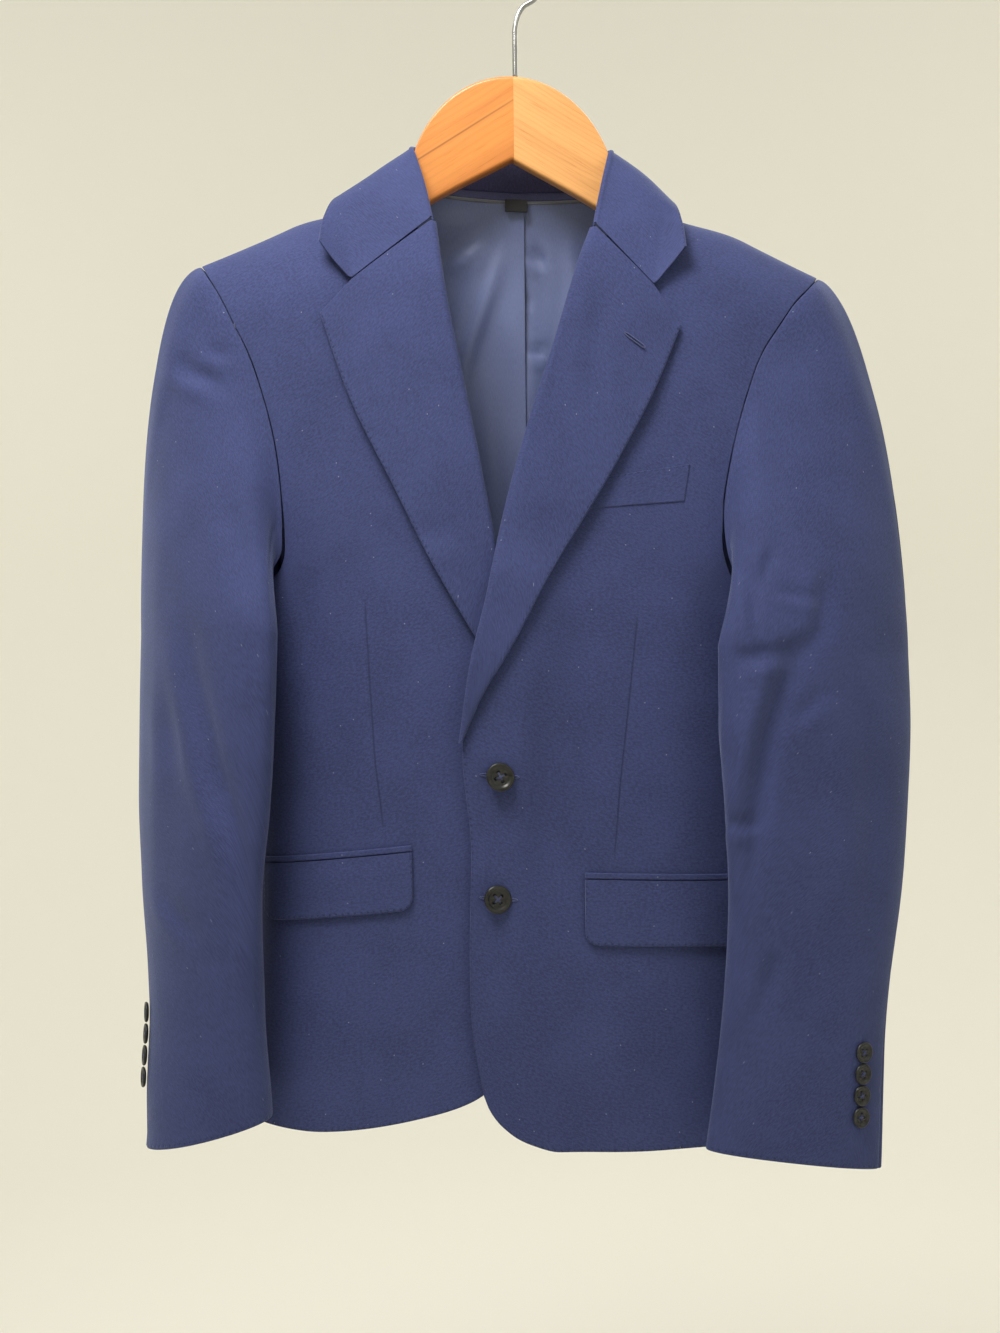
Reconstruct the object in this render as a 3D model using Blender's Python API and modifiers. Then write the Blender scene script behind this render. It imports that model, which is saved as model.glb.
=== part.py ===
"""A single breasted, two-button blazer on a wooden hanger.

Sizes are in millimetres and are turned into metres as each mesh is made. X runs to the
wearer's left, -Y is the front and Z is up. The origin is the inside top of the hook, where
the hanger hangs. Cloth pieces are grids of two parameters on the hung jacket's own form,
closed into a thin wall by the same grid moved inwards, with a small gap at every seam.
"""

import math

import bmesh
import bpy
import numpy as np
from mathutils import Matrix, Vector

MM = 0.001
GAP = 0.3
ARMHOLE_GAP = 0.5
CLOTH = 1.6
LINING = 1.0
HANG_TILT = 0.04  # fall of the hanger towards the wearer's left, per unit of width
LEFT, RIGHT = 1, -1  # the wearer's sides, as signs of X

NECK_X, NECK_Z = 98.0, -191.2  # inner end of the shoulder seam
SHOULDER_SLOPE = 0.493
SHOULDER_ROLL = 55.0  # how far below the seam the shoulder has turned down
ARM_ROWS, SIDE_ROWS, ACROSS = 11, 9, 12  # rows along the armhole and side seam, columns
CLOSER = 0.85  # how much an armhole's rows close up towards both of its ends
BODY_ROUND = 2.4  # exponent of the body's rounded section
UNDERARM_Z = -497.0
HEM_Z = -873.0
BACK_NECK_Z, BACK_HEM_Z = -186.0, -862.0

COLLECTION = "blazer"
NAVY = (0.045, 0.06, 0.17)
PIPING = (0.28, 0.33, 0.4)
SATIN = (0.06, 0.08, 0.14)
LABEL = (0.01, 0.01, 0.012)


def table(columns, *rows):
    """Rows under named columns, as one array for each column."""
    return dict(zip(columns.split(), np.array(rows, float).T))


BODY = table(
    "z half_width front back",
    (-150, 262, 22, 26),
    (-220, 254, 42, 38),
    (-262, 246, 53, 43),
    (-349, 235, 63, 48),
    (-424, 223, 69, 49),
    (-466, 215, 71, 48),
    (-497, 208, 73, 46),
    (-560, 201, 75, 42),
    (-640, 195, 74, 39),
    (-760, 200, 72, 42),
    (-900, 214, 67, 48),
)
# The inner edge of each front: the neckline, the roll line, then the front edge.
EDGE = {
    LEFT: table(
        "z x",
        (-191.2, 98), (-204, 84), (-219, 68), (-236, 55), (-270, 42), (-304, 31.5),
        (-361, 13), (-412, -2), (-490, -21), (-533, -32), (-575, -41), (-600, -43.3),
        (-667, -38), (-745, -39.8), (-800, -38), (-841, -31),
    ),
    RIGHT: table(
        "z x",
        (-191.2, -98), (-204, -86), (-219, -73), (-236, -64.5), (-270, -58), (-304, -52),
        (-361, -41), (-412, -31), (-490, -15.5), (-533, -4), (-575, 4), (-600, 6.5),
        (-667, 7), (-745, 5), (-780, 2), (-805, -3),
    ),
}
ARMHOLE = {
    LEFT: table(
        "z x",
        (-251.9, 221), (-262, 212), (-272, 200), (-299, 179), (-335, 164), (-364, 155.5),
        (-393, 148.5), (-421, 144.5), (-455, 145), (-475, 155), (-489, 176), (-497, 208),
    ),
    RIGHT: table(
        "z x",
        (-255.8, -229), (-265, -223), (-282, -211), (-314, -195), (-349, -184), (-381, -176.5),
        (-424, -171.5), (-455, -170), (-472, -174), (-486, -187), (-493, -198), (-497, -208),
    ),
}
BACK_SCYE = (
    (-268, 219), (-290, 211), (-320, 203.5), (-360, 198), (-420, 195),
    (-455, 196), (-475, 199), (-489, 203), (-497, 208),
)
BACK_ARMHOLE = {
    side: table(
        "z x",
        (ARMHOLE[side]["z"][0], ARMHOLE[side]["x"][0]),
        *((z, side * x) for z, x in BACK_SCYE),
    )
    for side in (LEFT, RIGHT)
}
HEM = {
    LEFT: table(
        "x z",
        (-31, -841), (-27, -851), (-13, -867), (8, -877), (22, -880), (78, -879.5),
        (120, -877), (166, -875), (214, -873),
    ),
    RIGHT: table(
        "x z",
        (-214, -873), (-190, -875), (-161, -876), (-126, -872.5), (-76, -861), (-44.5, -850),
        (-31, -842), (-14, -826), (-3, -805),
    ),
}
# How far the over front stands clear of the under front and its lapel, and where that starts.
OVERLAP = table(
    "z lift",
    (-400, 0), (-440, 3), (-475, 10.4), (-592, 10.8), (-640, 7.5), (-700, 5.5), (-880, 5),
)
LIFT_FROM_X, LIFT_OVER = 48.0, 50.0


def along(rows, key, column, at):
    """The column's smooth curve through its rows: a cubic on each stretch, with the slopes
    at the rows taken from their neighbours. Past the ends it keeps the end's value."""
    order = np.argsort(rows[key])
    xs, ys = rows[key][order], rows[column][order]
    steps = np.diff(ys) / np.diff(xs)
    slopes = np.concatenate([steps[:1], (steps[:-1] + steps[1:]) / 2, steps[-1:]])
    flat = np.concatenate([[False], steps[:-1] * steps[1:] <= 0, [False]])
    slopes[flat] = 0
    at = np.clip(np.asarray(at, float), xs[0], xs[-1])
    i = np.clip(np.searchsorted(xs, at) - 1, 0, len(xs) - 2)
    width = xs[i + 1] - xs[i]
    t = (at - xs[i]) / width
    return (
        (1 + 2 * t) * (1 - t) ** 2 * ys[i]
        + t * (1 - t) ** 2 * width * slopes[i]
        + t * t * (3 - 2 * t) * ys[i + 1]
        + t * t * (t - 1) * width * slopes[i + 1]
    )


def ease(t):
    """0 to 1, smooth at both ends."""
    t = np.clip(t, 0, 1)
    return t * t * (3 - 2 * t)


def spaced(count):
    """0 to 1 in steps that are finer towards both ends."""
    return (1 - np.cos(np.linspace(0, math.pi, count))) / 2


def ridge(x):
    """Height of the shoulder line, which falls evenly from the neck to the shoulder point."""
    return NECK_Z - SHOULDER_SLOPE * (np.abs(x) - NECK_X)


def depth(x, z, half):
    """Distance of the front or back from the mid-plane: a rounded section that falls to
    nothing at the side, turned over to nothing at the shoulder line."""
    across = np.clip(np.abs(x) / along(BODY, "z", "half_width", z), 0, 1)
    section = (1 - across**BODY_ROUND) ** (1 / BODY_ROUND)
    drop = np.clip((ridge(x) - z) / SHOULDER_ROLL, 0, 1)
    return along(BODY, "z", half, z) * section * np.sqrt(drop * (2 - drop))


def front_y(x, z, side):
    """The outer face of a front. The over front stands clear where the fronts cross."""
    y = -depth(x, z, "front")
    if side == LEFT:
        y = y - along(OVERLAP, "z", "lift", z) * ease((LIFT_FROM_X - x) / LIFT_OVER)
    return y


def by_length(rows, share):
    """Points at shares of the length of a table's curve in X and Z."""
    z = np.linspace(rows["z"].max(), rows["z"].min(), 400)
    x = along(rows, "z", "x", z)
    run = np.concatenate([[0], np.cumsum(np.hypot(np.diff(x), np.diff(z)))])
    at = run[-1] * share
    return np.interp(at, run, x), np.interp(at, run, z)


def stack(x, y, z):
    x, y, z = np.broadcast_arrays(x, y, z)
    return np.stack([x, y, z], axis=-1)


def panel_plan(inner_x, inner_z, outer_x, outer_z, columns, hem):
    """X and Z of a body panel: rows ruled from its inner edge to its outer edge, bent down to
    the hem's curve over the last rows."""
    a = spaced(columns)[None, :]
    x = inner_x[:, None] * (1 - a) + outer_x[:, None] * a
    z = inner_z[:, None] * (1 - a) + outer_z[:, None] * a
    down = np.linspace(0, 1, len(inner_z))[:, None]
    z = z + (hem(x[-1:]) - z[-1:]) * down**5
    return x, z


def arm_shares():
    """Shares of an armhole's length at its rows, closer near the shoulder and the underarm."""
    return (1 - CLOSER) * np.linspace(0, 1, ARM_ROWS) + CLOSER * spaced(ARM_ROWS)


def outer_edge(rows, side):
    """The armhole down to the underarm, then the side seam to the hem."""
    top_x, top_z = by_length(rows, arm_shares())
    z = np.linspace(UNDERARM_Z, HEM_Z, SIDE_ROWS)[1:]
    return (
        np.concatenate([top_x, side * along(BODY, "z", "half_width", z)]),
        np.concatenate([top_z, z]),
    )


def rows_between(top, foot):
    """Heights down a panel's inner edge, closer near the shoulder's turn and level with the
    outer edge from the underarm down."""
    above = top + (UNDERARM_Z - top) * np.linspace(0, 1, ARM_ROWS) ** 1.5
    return np.concatenate([above, np.linspace(UNDERARM_Z, foot, SIDE_ROWS)[1:]])


def front_panel(side):
    outer_x, outer_z = outer_edge(ARMHOLE[side], side)
    inner_z = rows_between(EDGE[side]["z"].max(), EDGE[side]["z"].min())
    inner_x = along(EDGE[side], "z", "x", inner_z)
    x, z = panel_plan(
        inner_x, inner_z, outer_x, outer_z, ACROSS, lambda x: along(HEM[side], "x", "z", x)
    )
    return stack(x, front_y(x, z, side) - GAP / 2, z)


def back_panel(side):
    """The same below the armhole, with its top edge raised to the back neck and shoulder."""
    outer_x, outer_z = outer_edge(BACK_ARMHOLE[side], side)
    inner_z = rows_between(BACK_NECK_Z, BACK_HEM_Z)
    inner_x = np.full_like(inner_z, side * GAP / 2)
    x, z = panel_plan(
        inner_x,
        inner_z,
        outer_x,
        outer_z,
        ACROSS,
        lambda x: BACK_HEM_Z + (HEM_Z - BACK_HEM_Z) * (x / outer_x[-1]) ** 2,
    )
    neck = BACK_NECK_Z + (NECK_Z - BACK_NECK_Z) * (x[:1] / NECK_X) ** 2
    top = np.where(np.abs(x[:1]) < NECK_X, neck, ridge(x[:1]))
    up = 1 - np.linspace(0, 1, len(z))[:, None]
    z = z + (top - z[:1]) * up**4
    return stack(x, depth(x, z, "back") + GAP / 2, z)


def normals_of(points, outward):
    """Unit normals of a grid, turned to the side that the direction given points to."""
    down = np.gradient(points, axis=0)
    across = np.gradient(points, axis=1)
    normals = np.cross(down, across)
    length = np.linalg.norm(normals, axis=2, keepdims=True)
    normals = normals / np.maximum(length, 1e-9)
    sign = np.sign((normals * outward).sum())
    return normals * (sign or 1)


def flatten(normals, seam, axis):
    """Takes one axis out of the normals along a seam, so that two walls there stay apart."""
    normals[seam, axis] = 0
    normals[seam] /= np.linalg.norm(normals[seam], axis=-1, keepdims=True)


# How far the padding lifts the shoulder line, from where out, over what width and how deep.
PAD_LIFT, PAD_FROM, PAD_ACROSS, PAD_DEEP = 11.5, 105.0, 65.0, 60.0
# How far each sleeve's outer side spreads, from where out and over what width.
SPREAD_FROM, SPREAD_ACROSS = 170.0, 100.0
SPREAD = {
    LEFT: table(
        "z out",
        (-250, 6), (-420, 6.5), (-560, 6), (-650, 4.5), (-740, 1), (-800, -4), (-880, -6),
    ),
    RIGHT: table(
        "z out", (-250, 11.4), (-420, 12.3), (-560, 12.4), (-650, 13), (-700, 11), (-760, 4),
        (-810, 0), (-880, -6),
    ),
}


def tilted(points):
    """The last step of every piece: padding lifts the shoulders, the sleeves spread, and the
    hanger's tilt lets everything fall a little towards the wearer's left."""
    points = np.array(points, float)
    x, z = points[..., 0].copy(), points[..., 2].copy()
    lift = ease((np.abs(x) - PAD_FROM) / PAD_ACROSS) * (1 - ease((ridge(x) - z) / PAD_DEEP))
    for side in (LEFT, RIGHT):
        share = ease((side * x - SPREAD_FROM) / SPREAD_ACROSS)
        points[..., 0] += side * share * along(SPREAD[side], "z", "out", z)
    points[..., 2] = z + PAD_LIFT * lift - HANG_TILT * x
    return points


def finish(obj, colour, rough=0.85, metal=0.0):
    """Gives the object a plain material of its own and puts it with the other pieces."""
    material = bpy.data.materials.new(obj.name)
    material.use_nodes = True
    shader = material.node_tree.nodes["Principled BSDF"]
    shader.inputs["Base Color"].default_value = (*colour, 1)
    shader.inputs["Roughness"].default_value = rough
    shader.inputs["Metallic"].default_value = metal
    obj.data.materials.append(material)
    for collection in list(obj.users_collection):
        collection.objects.unlink(obj)
    bpy.data.collections[COLLECTION].objects.link(obj)
    return obj


def walled(name, points, normals, wall, colour, rough=0.85):
    """A closed wall of cloth: the grid, the same grid moved in, and a rim between them."""
    rows, columns = points.shape[:2]
    inner = points - normals * wall
    vertices = tilted(np.concatenate([points.reshape(-1, 3), inner.reshape(-1, 3)])) * MM
    index = np.arange(rows * columns).reshape(rows, columns)
    quads = np.stack(
        [index[:-1, :-1], index[1:, :-1], index[1:, 1:], index[:-1, 1:]], axis=-1
    ).reshape(-1, 4)
    rim = np.concatenate(
        [index[:, 0], index[-1, 1:], index[-2::-1, -1], index[0, -2:0:-1]]
    )
    after = np.roll(rim, -1)
    under = rows * columns
    sides = np.stack([after, rim, rim + under, after + under], axis=-1)
    faces = np.concatenate([quads[::-1], quads[:, ::-1] + under, sides])
    mesh = bpy.data.meshes.new(name)
    mesh.from_pydata(vertices.tolist(), [], faces.tolist())
    made = bmesh.new()
    made.from_mesh(mesh)
    bmesh.ops.triangulate(made, faces=made.faces)
    bmesh.ops.recalc_face_normals(made, faces=made.faces)
    if made.calc_volume(signed=True) < 0:
        bmesh.ops.reverse_faces(made, faces=made.faces)
    made.to_mesh(mesh)
    made.free()
    mesh.shade_smooth()
    return finish(bpy.data.objects.new(name, mesh), colour, rough)


def body_panels():
    """Fronts and backs, and the edges and normals that the sleeves are set to."""
    edges = {}
    for side, word in ((LEFT, "left"), (RIGHT, "right")):
        for form, make, out in (("front", front_panel, -1), ("back", back_panel, 1)):
            points = make(side)
            normals = normals_of(points, np.array([0, out, 0.2]))
            row, column = np.indices(points.shape[:2])
            shoulder = (row == 0) & (np.abs(points[..., 0]) > NECK_X - 1)
            side_seam = (row >= ARM_ROWS - 1) & (column == ACROSS - 1)
            flatten(normals, shoulder | side_seam, 1)
            if form == "back":
                flatten(normals, column == 0, 0)
            walled(f"{form}_{word}", points, normals, CLOTH, NAVY)
            edges[side, form] = points[:ARM_ROWS, -2:], normals[:ARM_ROWS, -1]
    return edges


# Rings of a sleeve, measured outwards from the jacket's middle: inner and outer reach, the
# middle's place front to back, how far the outer end lies back, the ring's reach forwards and
# backwards, and how far the seams have turned round it, in degrees.
SLEEVE = {
    LEFT: table(
        "z inner outer y lean front back turn",
        (-520, 134, 276, -62, 32, 30, 17, 0),
        (-571, 134, 275.5, -65, 30, 31, 20, 10),
        (-627, 138, 272, -67, 26, 31, 23, 25),
        (-683, 140, 267, -71, 20, 29, 22, 38),
        (-755, 136, 258, -76, 14, 24, 19, 48),
        (-823, 129, 255.5, -79, 10, 19, 16, 54),
        (-885, 121, 254, -80, 8, 16, 14, 56),
    ),
    RIGHT: table(
        "z inner outer y lean front back turn",
        (-520, 171, 276, -35, 54, 37, 26, 0),
        (-571, 173, 277, -37, 52, 38, 28, 8),
        (-636, 177, 276, -41, 46, 38, 28, 20),
        (-700, 184, 273.5, -45, 38, 36, 28, 32),
        (-787, 184.5, 273.5, -52, 22, 34, 28, 43),
        (-850, 181, 279, -56, 13, 33, 28, 50),
        (-890, 180, 281, -58, 10, 32, 28, 52),
    ),
}
CAP_FOOT_Z = -520.0
LOW_ARMHOLE_Z, LOW_ARMHOLE = -445.0, 30.0  # from here down the sleeve starts outside the body
UNDERARM_OUT = 8.9  # and by how much at the underarm
CAP_ROWS, TUBE_ROWS = 7, 8
RING_STEPS = 2 * (ARM_ROWS - 1)
FRONT_SEAM, BACK_SEAM = 7, 15
# Where the armhole's points go on the first ring, in degrees from its outer end: 0 to 1 runs
# down the armhole's front and 1 to 2 up its back.
RING_ANGLE = table(
    "way angle", (0, 0), (0.33, 88), (0.74, 172), (1, 284), (1.59, 324), (2, 360)
)
# The cuff's height at its outer end, its rise per millimetre inwards, and how much higher
# its back is.
CUFF = {LEFT: (-883.0, 0.105, 3.0), RIGHT: (-890.0, 0.29, 20.0)}


def ring(side, z, angle):
    """A point of the sleeve at a height and an angle: a leaning oval, flatter at its back."""
    rows = SLEEVE[side]
    inner, outer = (along(rows, "z", name, z) for name in ("inner", "outer"))
    cos, sin = np.cos(angle), np.sin(angle)
    reach = np.where(sin > 0, along(rows, "z", "front", z), along(rows, "z", "back", z))
    x = (inner + outer) / 2 + (outer - inner) / 2 * cos
    y = along(rows, "z", "y", z) + along(rows, "z", "lean", z) * cos - reach * sin
    return stack(side * x, y, z)


def cuff_z(side, angle):
    outer_z, rise, back = CUFF[side]
    across = (1 - np.cos(angle)) / 2
    span = SLEEVE[side]["outer"][-1] - SLEEVE[side]["inner"][-1]
    return outer_z + rise * span * across + back * np.clip(-np.sin(angle), 0, 1)


def turned(side, z, angle):
    return angle + np.radians(along(SLEEVE[side], "z", "turn", z))


def sleeve(side, edges):
    """Rows of rings: a cap that leaves the armhole along the cloth and curves down to the
    first ring, then the tube to the cuff. The rings' points start at the shoulder and go
    round by the front."""
    front, front_out = edges[side, "front"]
    back, back_out = edges[side, "back"]
    start = np.concatenate([front[:, -1], back[-2::-1, -1]])
    inside = np.concatenate([front[:, -2], back[-2::-1, -2]])
    face = np.concatenate([front_out, back_out[-2::-1]])
    away = np.cross(np.gradient(start, axis=0), face)
    away *= np.sign(((start - inside) * away).sum(axis=1, keepdims=True))
    tip, underarm = [0, RING_STEPS], ARM_ROWS - 1
    start[tip] = start[0] * (1, 0, 1)
    start[underarm, 1] = 0
    face[tip] = side * SHOULDER_SLOPE, 0, 1
    away[tip] = side, 0, -SHOULDER_SLOPE
    face[underarm] = side, 0, 0.3
    away[underarm] = side * 0.3, 0, -1
    face /= np.linalg.norm(face, axis=1, keepdims=True)
    away /= np.linalg.norm(away, axis=1, keepdims=True)
    low = ease((LOW_ARMHOLE_Z - start[:, 2:]) / LOW_ARMHOLE)
    start = start + ARMHOLE_GAP * away + UNDERARM_OUT * low * face
    way = np.concatenate([arm_shares(), 2 - arm_shares()[-2::-1]])
    angle = np.radians(along(RING_ANGLE, "way", "angle", way))
    foot = ring(side, np.full_like(angle, CAP_FOOT_Z), angle)
    high = ((1 + np.cos(angle)) / 2)[:, None]
    leave = away * (34 + 96 * high**1.5) * (1 - 0.8 * low) + face * (30 - 26 * high) * (1, 1, 0.2)
    arrive = np.array([0, 0, -1.0]) * (60 + 220 * high) * (1 - 0.7 * low)
    rows = []
    for t in np.linspace(0, 1, CAP_ROWS):
        rows.append(
            (1 + 2 * t) * (1 - t) ** 2 * start
            + t * (1 - t) ** 2 * leave
            + t * t * (3 - 2 * t) * foot
            + t * t * (t - 1) * arrive
        )
    cuff = cuff_z(side, angle + math.radians(SLEEVE[side]["turn"][-1]))
    for t in np.linspace(0, 1, TUBE_ROWS)[1:]:
        level = CAP_FOOT_Z + (cuff - CAP_FOOT_Z) * t
        rows.append(ring(side, level, turned(side, level, angle)))
    points = np.array(rows)
    normals = normals_of_tube(points)
    normals[0] = face
    way = np.linspace(0, 1, 5)[1:4, None, None]
    roof = face * (1 - way) + normals[4] * way + np.array([0, 0, -4.0]) * way * (1 - way)
    normals[1:4] = (1 - low) * normals[1:4] + low * roof
    normals[1:4] /= np.linalg.norm(normals[1:4], axis=2, keepdims=True)
    return points, normals


def normals_of_tube(points):
    """Unit normals of rings that close on themselves, pointing out."""
    down = np.gradient(points, axis=0)
    whole = np.concatenate([points[:, -2:-1], points, points[:, 1:2]], axis=1)
    around = (whole[:, 2:] - whole[:, :-2]) / 2
    normals = np.cross(down, around)
    normals /= np.maximum(np.linalg.norm(normals, axis=2, keepdims=True), 1e-9)
    middle = points[:, :-1].mean(axis=1, keepdims=True)
    return normals * np.sign((normals * (points - middle)).sum())


def part_of_ring(points, first, last, closed=False):
    """The stretch of the rings between two seams, with half a gap taken off at each."""
    picked = np.arange(first, last + 1) % RING_STEPS
    strip = points[:, picked].copy()
    if not closed:
        for edge, beside in ((0, 1), (-1, -2)):
            step = strip[:, beside] - strip[:, edge]
            strip[:, edge] += step * GAP / 2 / np.linalg.norm(step, axis=1, keepdims=True)
    return strip


def sleeves(edges):
    """Each sleeve's top and under pieces, which meet at the front and back seams."""
    pieces = (("top", BACK_SEAM, FRONT_SEAM + RING_STEPS), ("under", FRONT_SEAM, BACK_SEAM))
    for side, word in ((LEFT, "left"), (RIGHT, "right")):
        points, normals = sleeve(side, edges)
        for name, first, last in pieces:
            walled(
                f"sleeve_{name}_{word}",
                part_of_ring(points, first, last),
                part_of_ring(normals, first, last, closed=True),
                CLOTH,
                NAVY,
            )


# Each lapel's outer edge from its corner down, and its roll line from the gorge down.
LAPEL_EDGE = {
    LEFT: table(
        "x z",
        (116, -290.5), (94.4, -341), (62.2, -401), (21.6, -469), (-9.2, -526),
        (-28.4, -558), (-42.5, -590),
    ),
    RIGHT: table(
        "x z",
        (-143, -288), (-119.7, -353), (-88.7, -415.6), (-64.7, -464), (-40.5, -506),
        (-18, -543), (4, -588),
    ),
}
ROLL = {
    LEFT: table(
        "x z",
        (56.4, -218.8), (43.9, -253), (29, -304), (10.6, -361), (-4.2, -412), (-22.9, -490),
        (-34.1, -533), (-43.3, -592),
    ),
    RIGHT: table(
        "x z",
        (-63, -217.5), (-56, -270.5), (-41.2, -348.5), (-29.1, -412), (-13.5, -490),
        (-2, -533), (6.5, -592),
    ),
}
NOTCH = {LEFT: (97.2, -261.1), RIGHT: (-120.1, -263.1)}  # inner corner of the notch
NOTCH_AT = 0.66  # how far along the gorge and the lapel's top the notch's corner is
ROLL_RISE, LAPEL_RISE = 9.0, 4.2  # how far a lapel stands off its front, at roll and edge
ROLL_FLATTENS = 3.8  # how much closer the roll lies at its lower end
LAPEL_ROWS, LAPEL_COLUMNS, FOLD_STEPS = 13, 7, 4


def even(rows, count):
    """Points evenly spaced by height down a table's curve of X and Z."""
    z = np.linspace(rows["z"][0], rows["z"][-1], count)
    return along(rows, "z", "x", z), z


def lapel(side):
    """A sheet turned back over its front. A half round fold joins it to the front's edge at
    the roll line, and it lies closer to the front at its outer edge. Its top row bends at
    the notch."""
    roll_x, roll_z = even(ROLL[side], LAPEL_ROWS)
    edge_x, edge_z = even(LAPEL_EDGE[side], LAPEL_ROWS)
    s = np.linspace(0, 1, LAPEL_COLUMNS)[None, :]
    x = roll_x[:, None] * (1 - s) + edge_x[:, None] * s
    z = roll_z[:, None] * (1 - s) + edge_z[:, None] * s
    bend = np.interp(s, (0, NOTCH_AT, 1), (0, 1, 0))
    bend = bend * np.clip(1 - np.linspace(0, 1, LAPEL_ROWS)[:, None] * 4, 0, 1) ** 2
    x = x + bend * (NOTCH[side][0] - (roll_x[0] * (1 - NOTCH_AT) + edge_x[0] * NOTCH_AT))
    z = z + bend * (NOTCH[side][1] - (roll_z[0] * (1 - NOTCH_AT) + edge_z[0] * NOTCH_AT))
    roll_rise = ROLL_RISE - ROLL_FLATTENS * ease(np.linspace(-0.8, 1.2, LAPEL_ROWS))[:, None]
    rise = roll_rise + (LAPEL_RISE - roll_rise) * ease(s)
    flat = stack(x, front_y(x, z, side) - rise, z)
    turn = np.linspace(0, math.pi, FOLD_STEPS + 2)[1:-1][None, :]
    depth_of_fold = (roll_rise - GAP) / 2
    base = front_y(roll_x, roll_z, side)[:, None]
    fold = stack(
        roll_x[:, None] - side * depth_of_fold * np.sin(turn),
        base - GAP - depth_of_fold * (1 - np.cos(turn)),
        roll_z[:, None] + 0 * turn,
    )
    return np.concatenate([fold, flat], axis=1)


def lapels():
    for side, word in ((LEFT, "left"), (RIGHT, "right")):
        points = lapel(side)
        normals = normals_of(points, np.array([0, -1.0, 0]))
        walled(f"lapel_{word}", points, normals, CLOTH, NAVY)


# The collar from the gorge to the centre back: its roll and the edge of its fall.
COLLAR = {
    LEFT: table(
        "way roll_x roll_y roll_z fall_x fall_y fall_z",
        (0, 57.5, -44, -216, 120.3, -55, -233.4),
        (0.18, 65, -29, -183, 120, -38, -212),
        (0.34, 71.5, -13, -157, 117, -16, -193),
        (0.5, 73.5, 4, -148.5, 110, 8, -187),
        (0.75, 52, 33, -145, 76, 42, -190),
        (1, 0, 44, -144, 0, 50, -192),
    ),
    RIGHT: table(
        "way roll_x roll_y roll_z fall_x fall_y fall_z",
        (0, 64, -44, -215, 142.6, -53.5, -239.8),
        (0.18, 71, -29, -184, 141, -36, -219),
        (0.34, 78.5, -13, -159, 134, -16, -199),
        (0.5, 80.5, 4, -150, 117, 8, -190.5),
        (0.75, 54, 33, -145, 78, 42, -190),
        (1, 0, 44, -144, 0, 50, -192),
    ),
}
COLLAR_FOLD = 2.0  # radius of the fold along the collar's roll
COLLAR_FOLD_TURNS = (1.15, 0.8, 0.5, 0.2)  # half turns round that fold, from inside to outside
COLLAR_SWELL = 3.0
COLLAR_OFF = 5.6  # from the front to the collar's face at the notch
COLLAR_NOTCH_AT = 0.74  # how far along the collar's end the notch's corner is
COLLAR_END = 0.24  # how much of the way round still follows the gorge's bend
LEAF_COLUMNS = 7
STAND_FOOT_Z, STAND_FROM = -170.6, 0.62


def collar_lines(way, side):
    rows = COLLAR[side]
    line = {
        name: along(rows, "way", name, way) * (side if name.endswith("_x") else 1)
        for name in rows
    }
    roll = stack(line["roll_x"], line["roll_y"], line["roll_z"])
    fall = stack(line["fall_x"], line["fall_y"], line["fall_z"])
    return roll, fall


def collar_half(side):
    """From the gorge to the centre back: a fold over the roll, then the leaf down to its
    fall. At the gorge the leaf's end follows the gorge seam and turns up at the notch."""
    way = np.array([0, 0.06, 0.14, 0.24, 0.34, 0.44, 0.54, 0.65, 0.76, 0.88, 1])
    roll, fall = collar_lines(way, side)
    inward = -roll * (1, 1, 0) / np.linalg.norm(roll[:, :2], axis=1, keepdims=True)
    up = np.array([0, 0, 1.0])
    fold = [
        roll + COLLAR_FOLD * (inward * (1 - math.cos(turn)) + up * math.sin(turn))
        for turn in math.pi * np.array(COLLAR_FOLD_TURNS)
    ]
    leaf = []
    for s in np.linspace(0, 1, LEAF_COLUMNS):
        swell = COLLAR_SWELL * math.sin(math.pi * s)
        leaf.append(roll * (1 - s) + fall * s - inward * swell + up * swell * 0.5)
    points = np.stack(fold + leaf, axis=1)
    corner_x, corner_z = NOTCH[side]
    corner_y = front_y(corner_x, corner_z, side) - COLLAR_OFF
    corner = np.array([corner_x, corner_y, corner_z])
    s = np.linspace(0, 1, LEAF_COLUMNS)
    bend = np.interp(s, (0, COLLAR_NOTCH_AT, 1), (0, 1, 0))[:, None]
    straight = roll[0] + (fall[0] - roll[0]) * COLLAR_NOTCH_AT
    fade = np.clip(1 - way / COLLAR_END, 0, 1)[:, None, None]
    points[:, len(fold) :] += (bend * (corner - straight) + up * GAP) * fade
    return points


def collar():
    """The leaf, in one piece round the neck, and inside it the stand down to the neck seam."""
    halves = [collar_half(LEFT), collar_half(RIGHT)[-2::-1]]
    points = np.concatenate(halves)
    normals = normals_of(points, points - np.array([0, 0, -200.0]))
    walled("collar_leaf", points, normals, CLOTH, NAVY)
    way = np.linspace(STAND_FROM, 1, 5)
    tops = [collar_lines(way, LEFT)[0], collar_lines(way, RIGHT)[0][-2::-1]]
    top = np.concatenate(tops)
    inward = -top * (1, 1, 0) / np.linalg.norm(top[:, :2], axis=1, keepdims=True)
    top = top + inward * 2 * COLLAR_FOLD - np.array([0, 0, COLLAR_FOLD + 2 * GAP])
    foot = top * (1, 1, 0) + inward + np.array([0, 0, STAND_FOOT_Z])
    stand = np.stack([top, (top + foot) / 2, foot], axis=1)
    walled("collar_stand", stand, np.repeat(inward[:, None], 3, axis=1), CLOTH, NAVY)
    return foot


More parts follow.
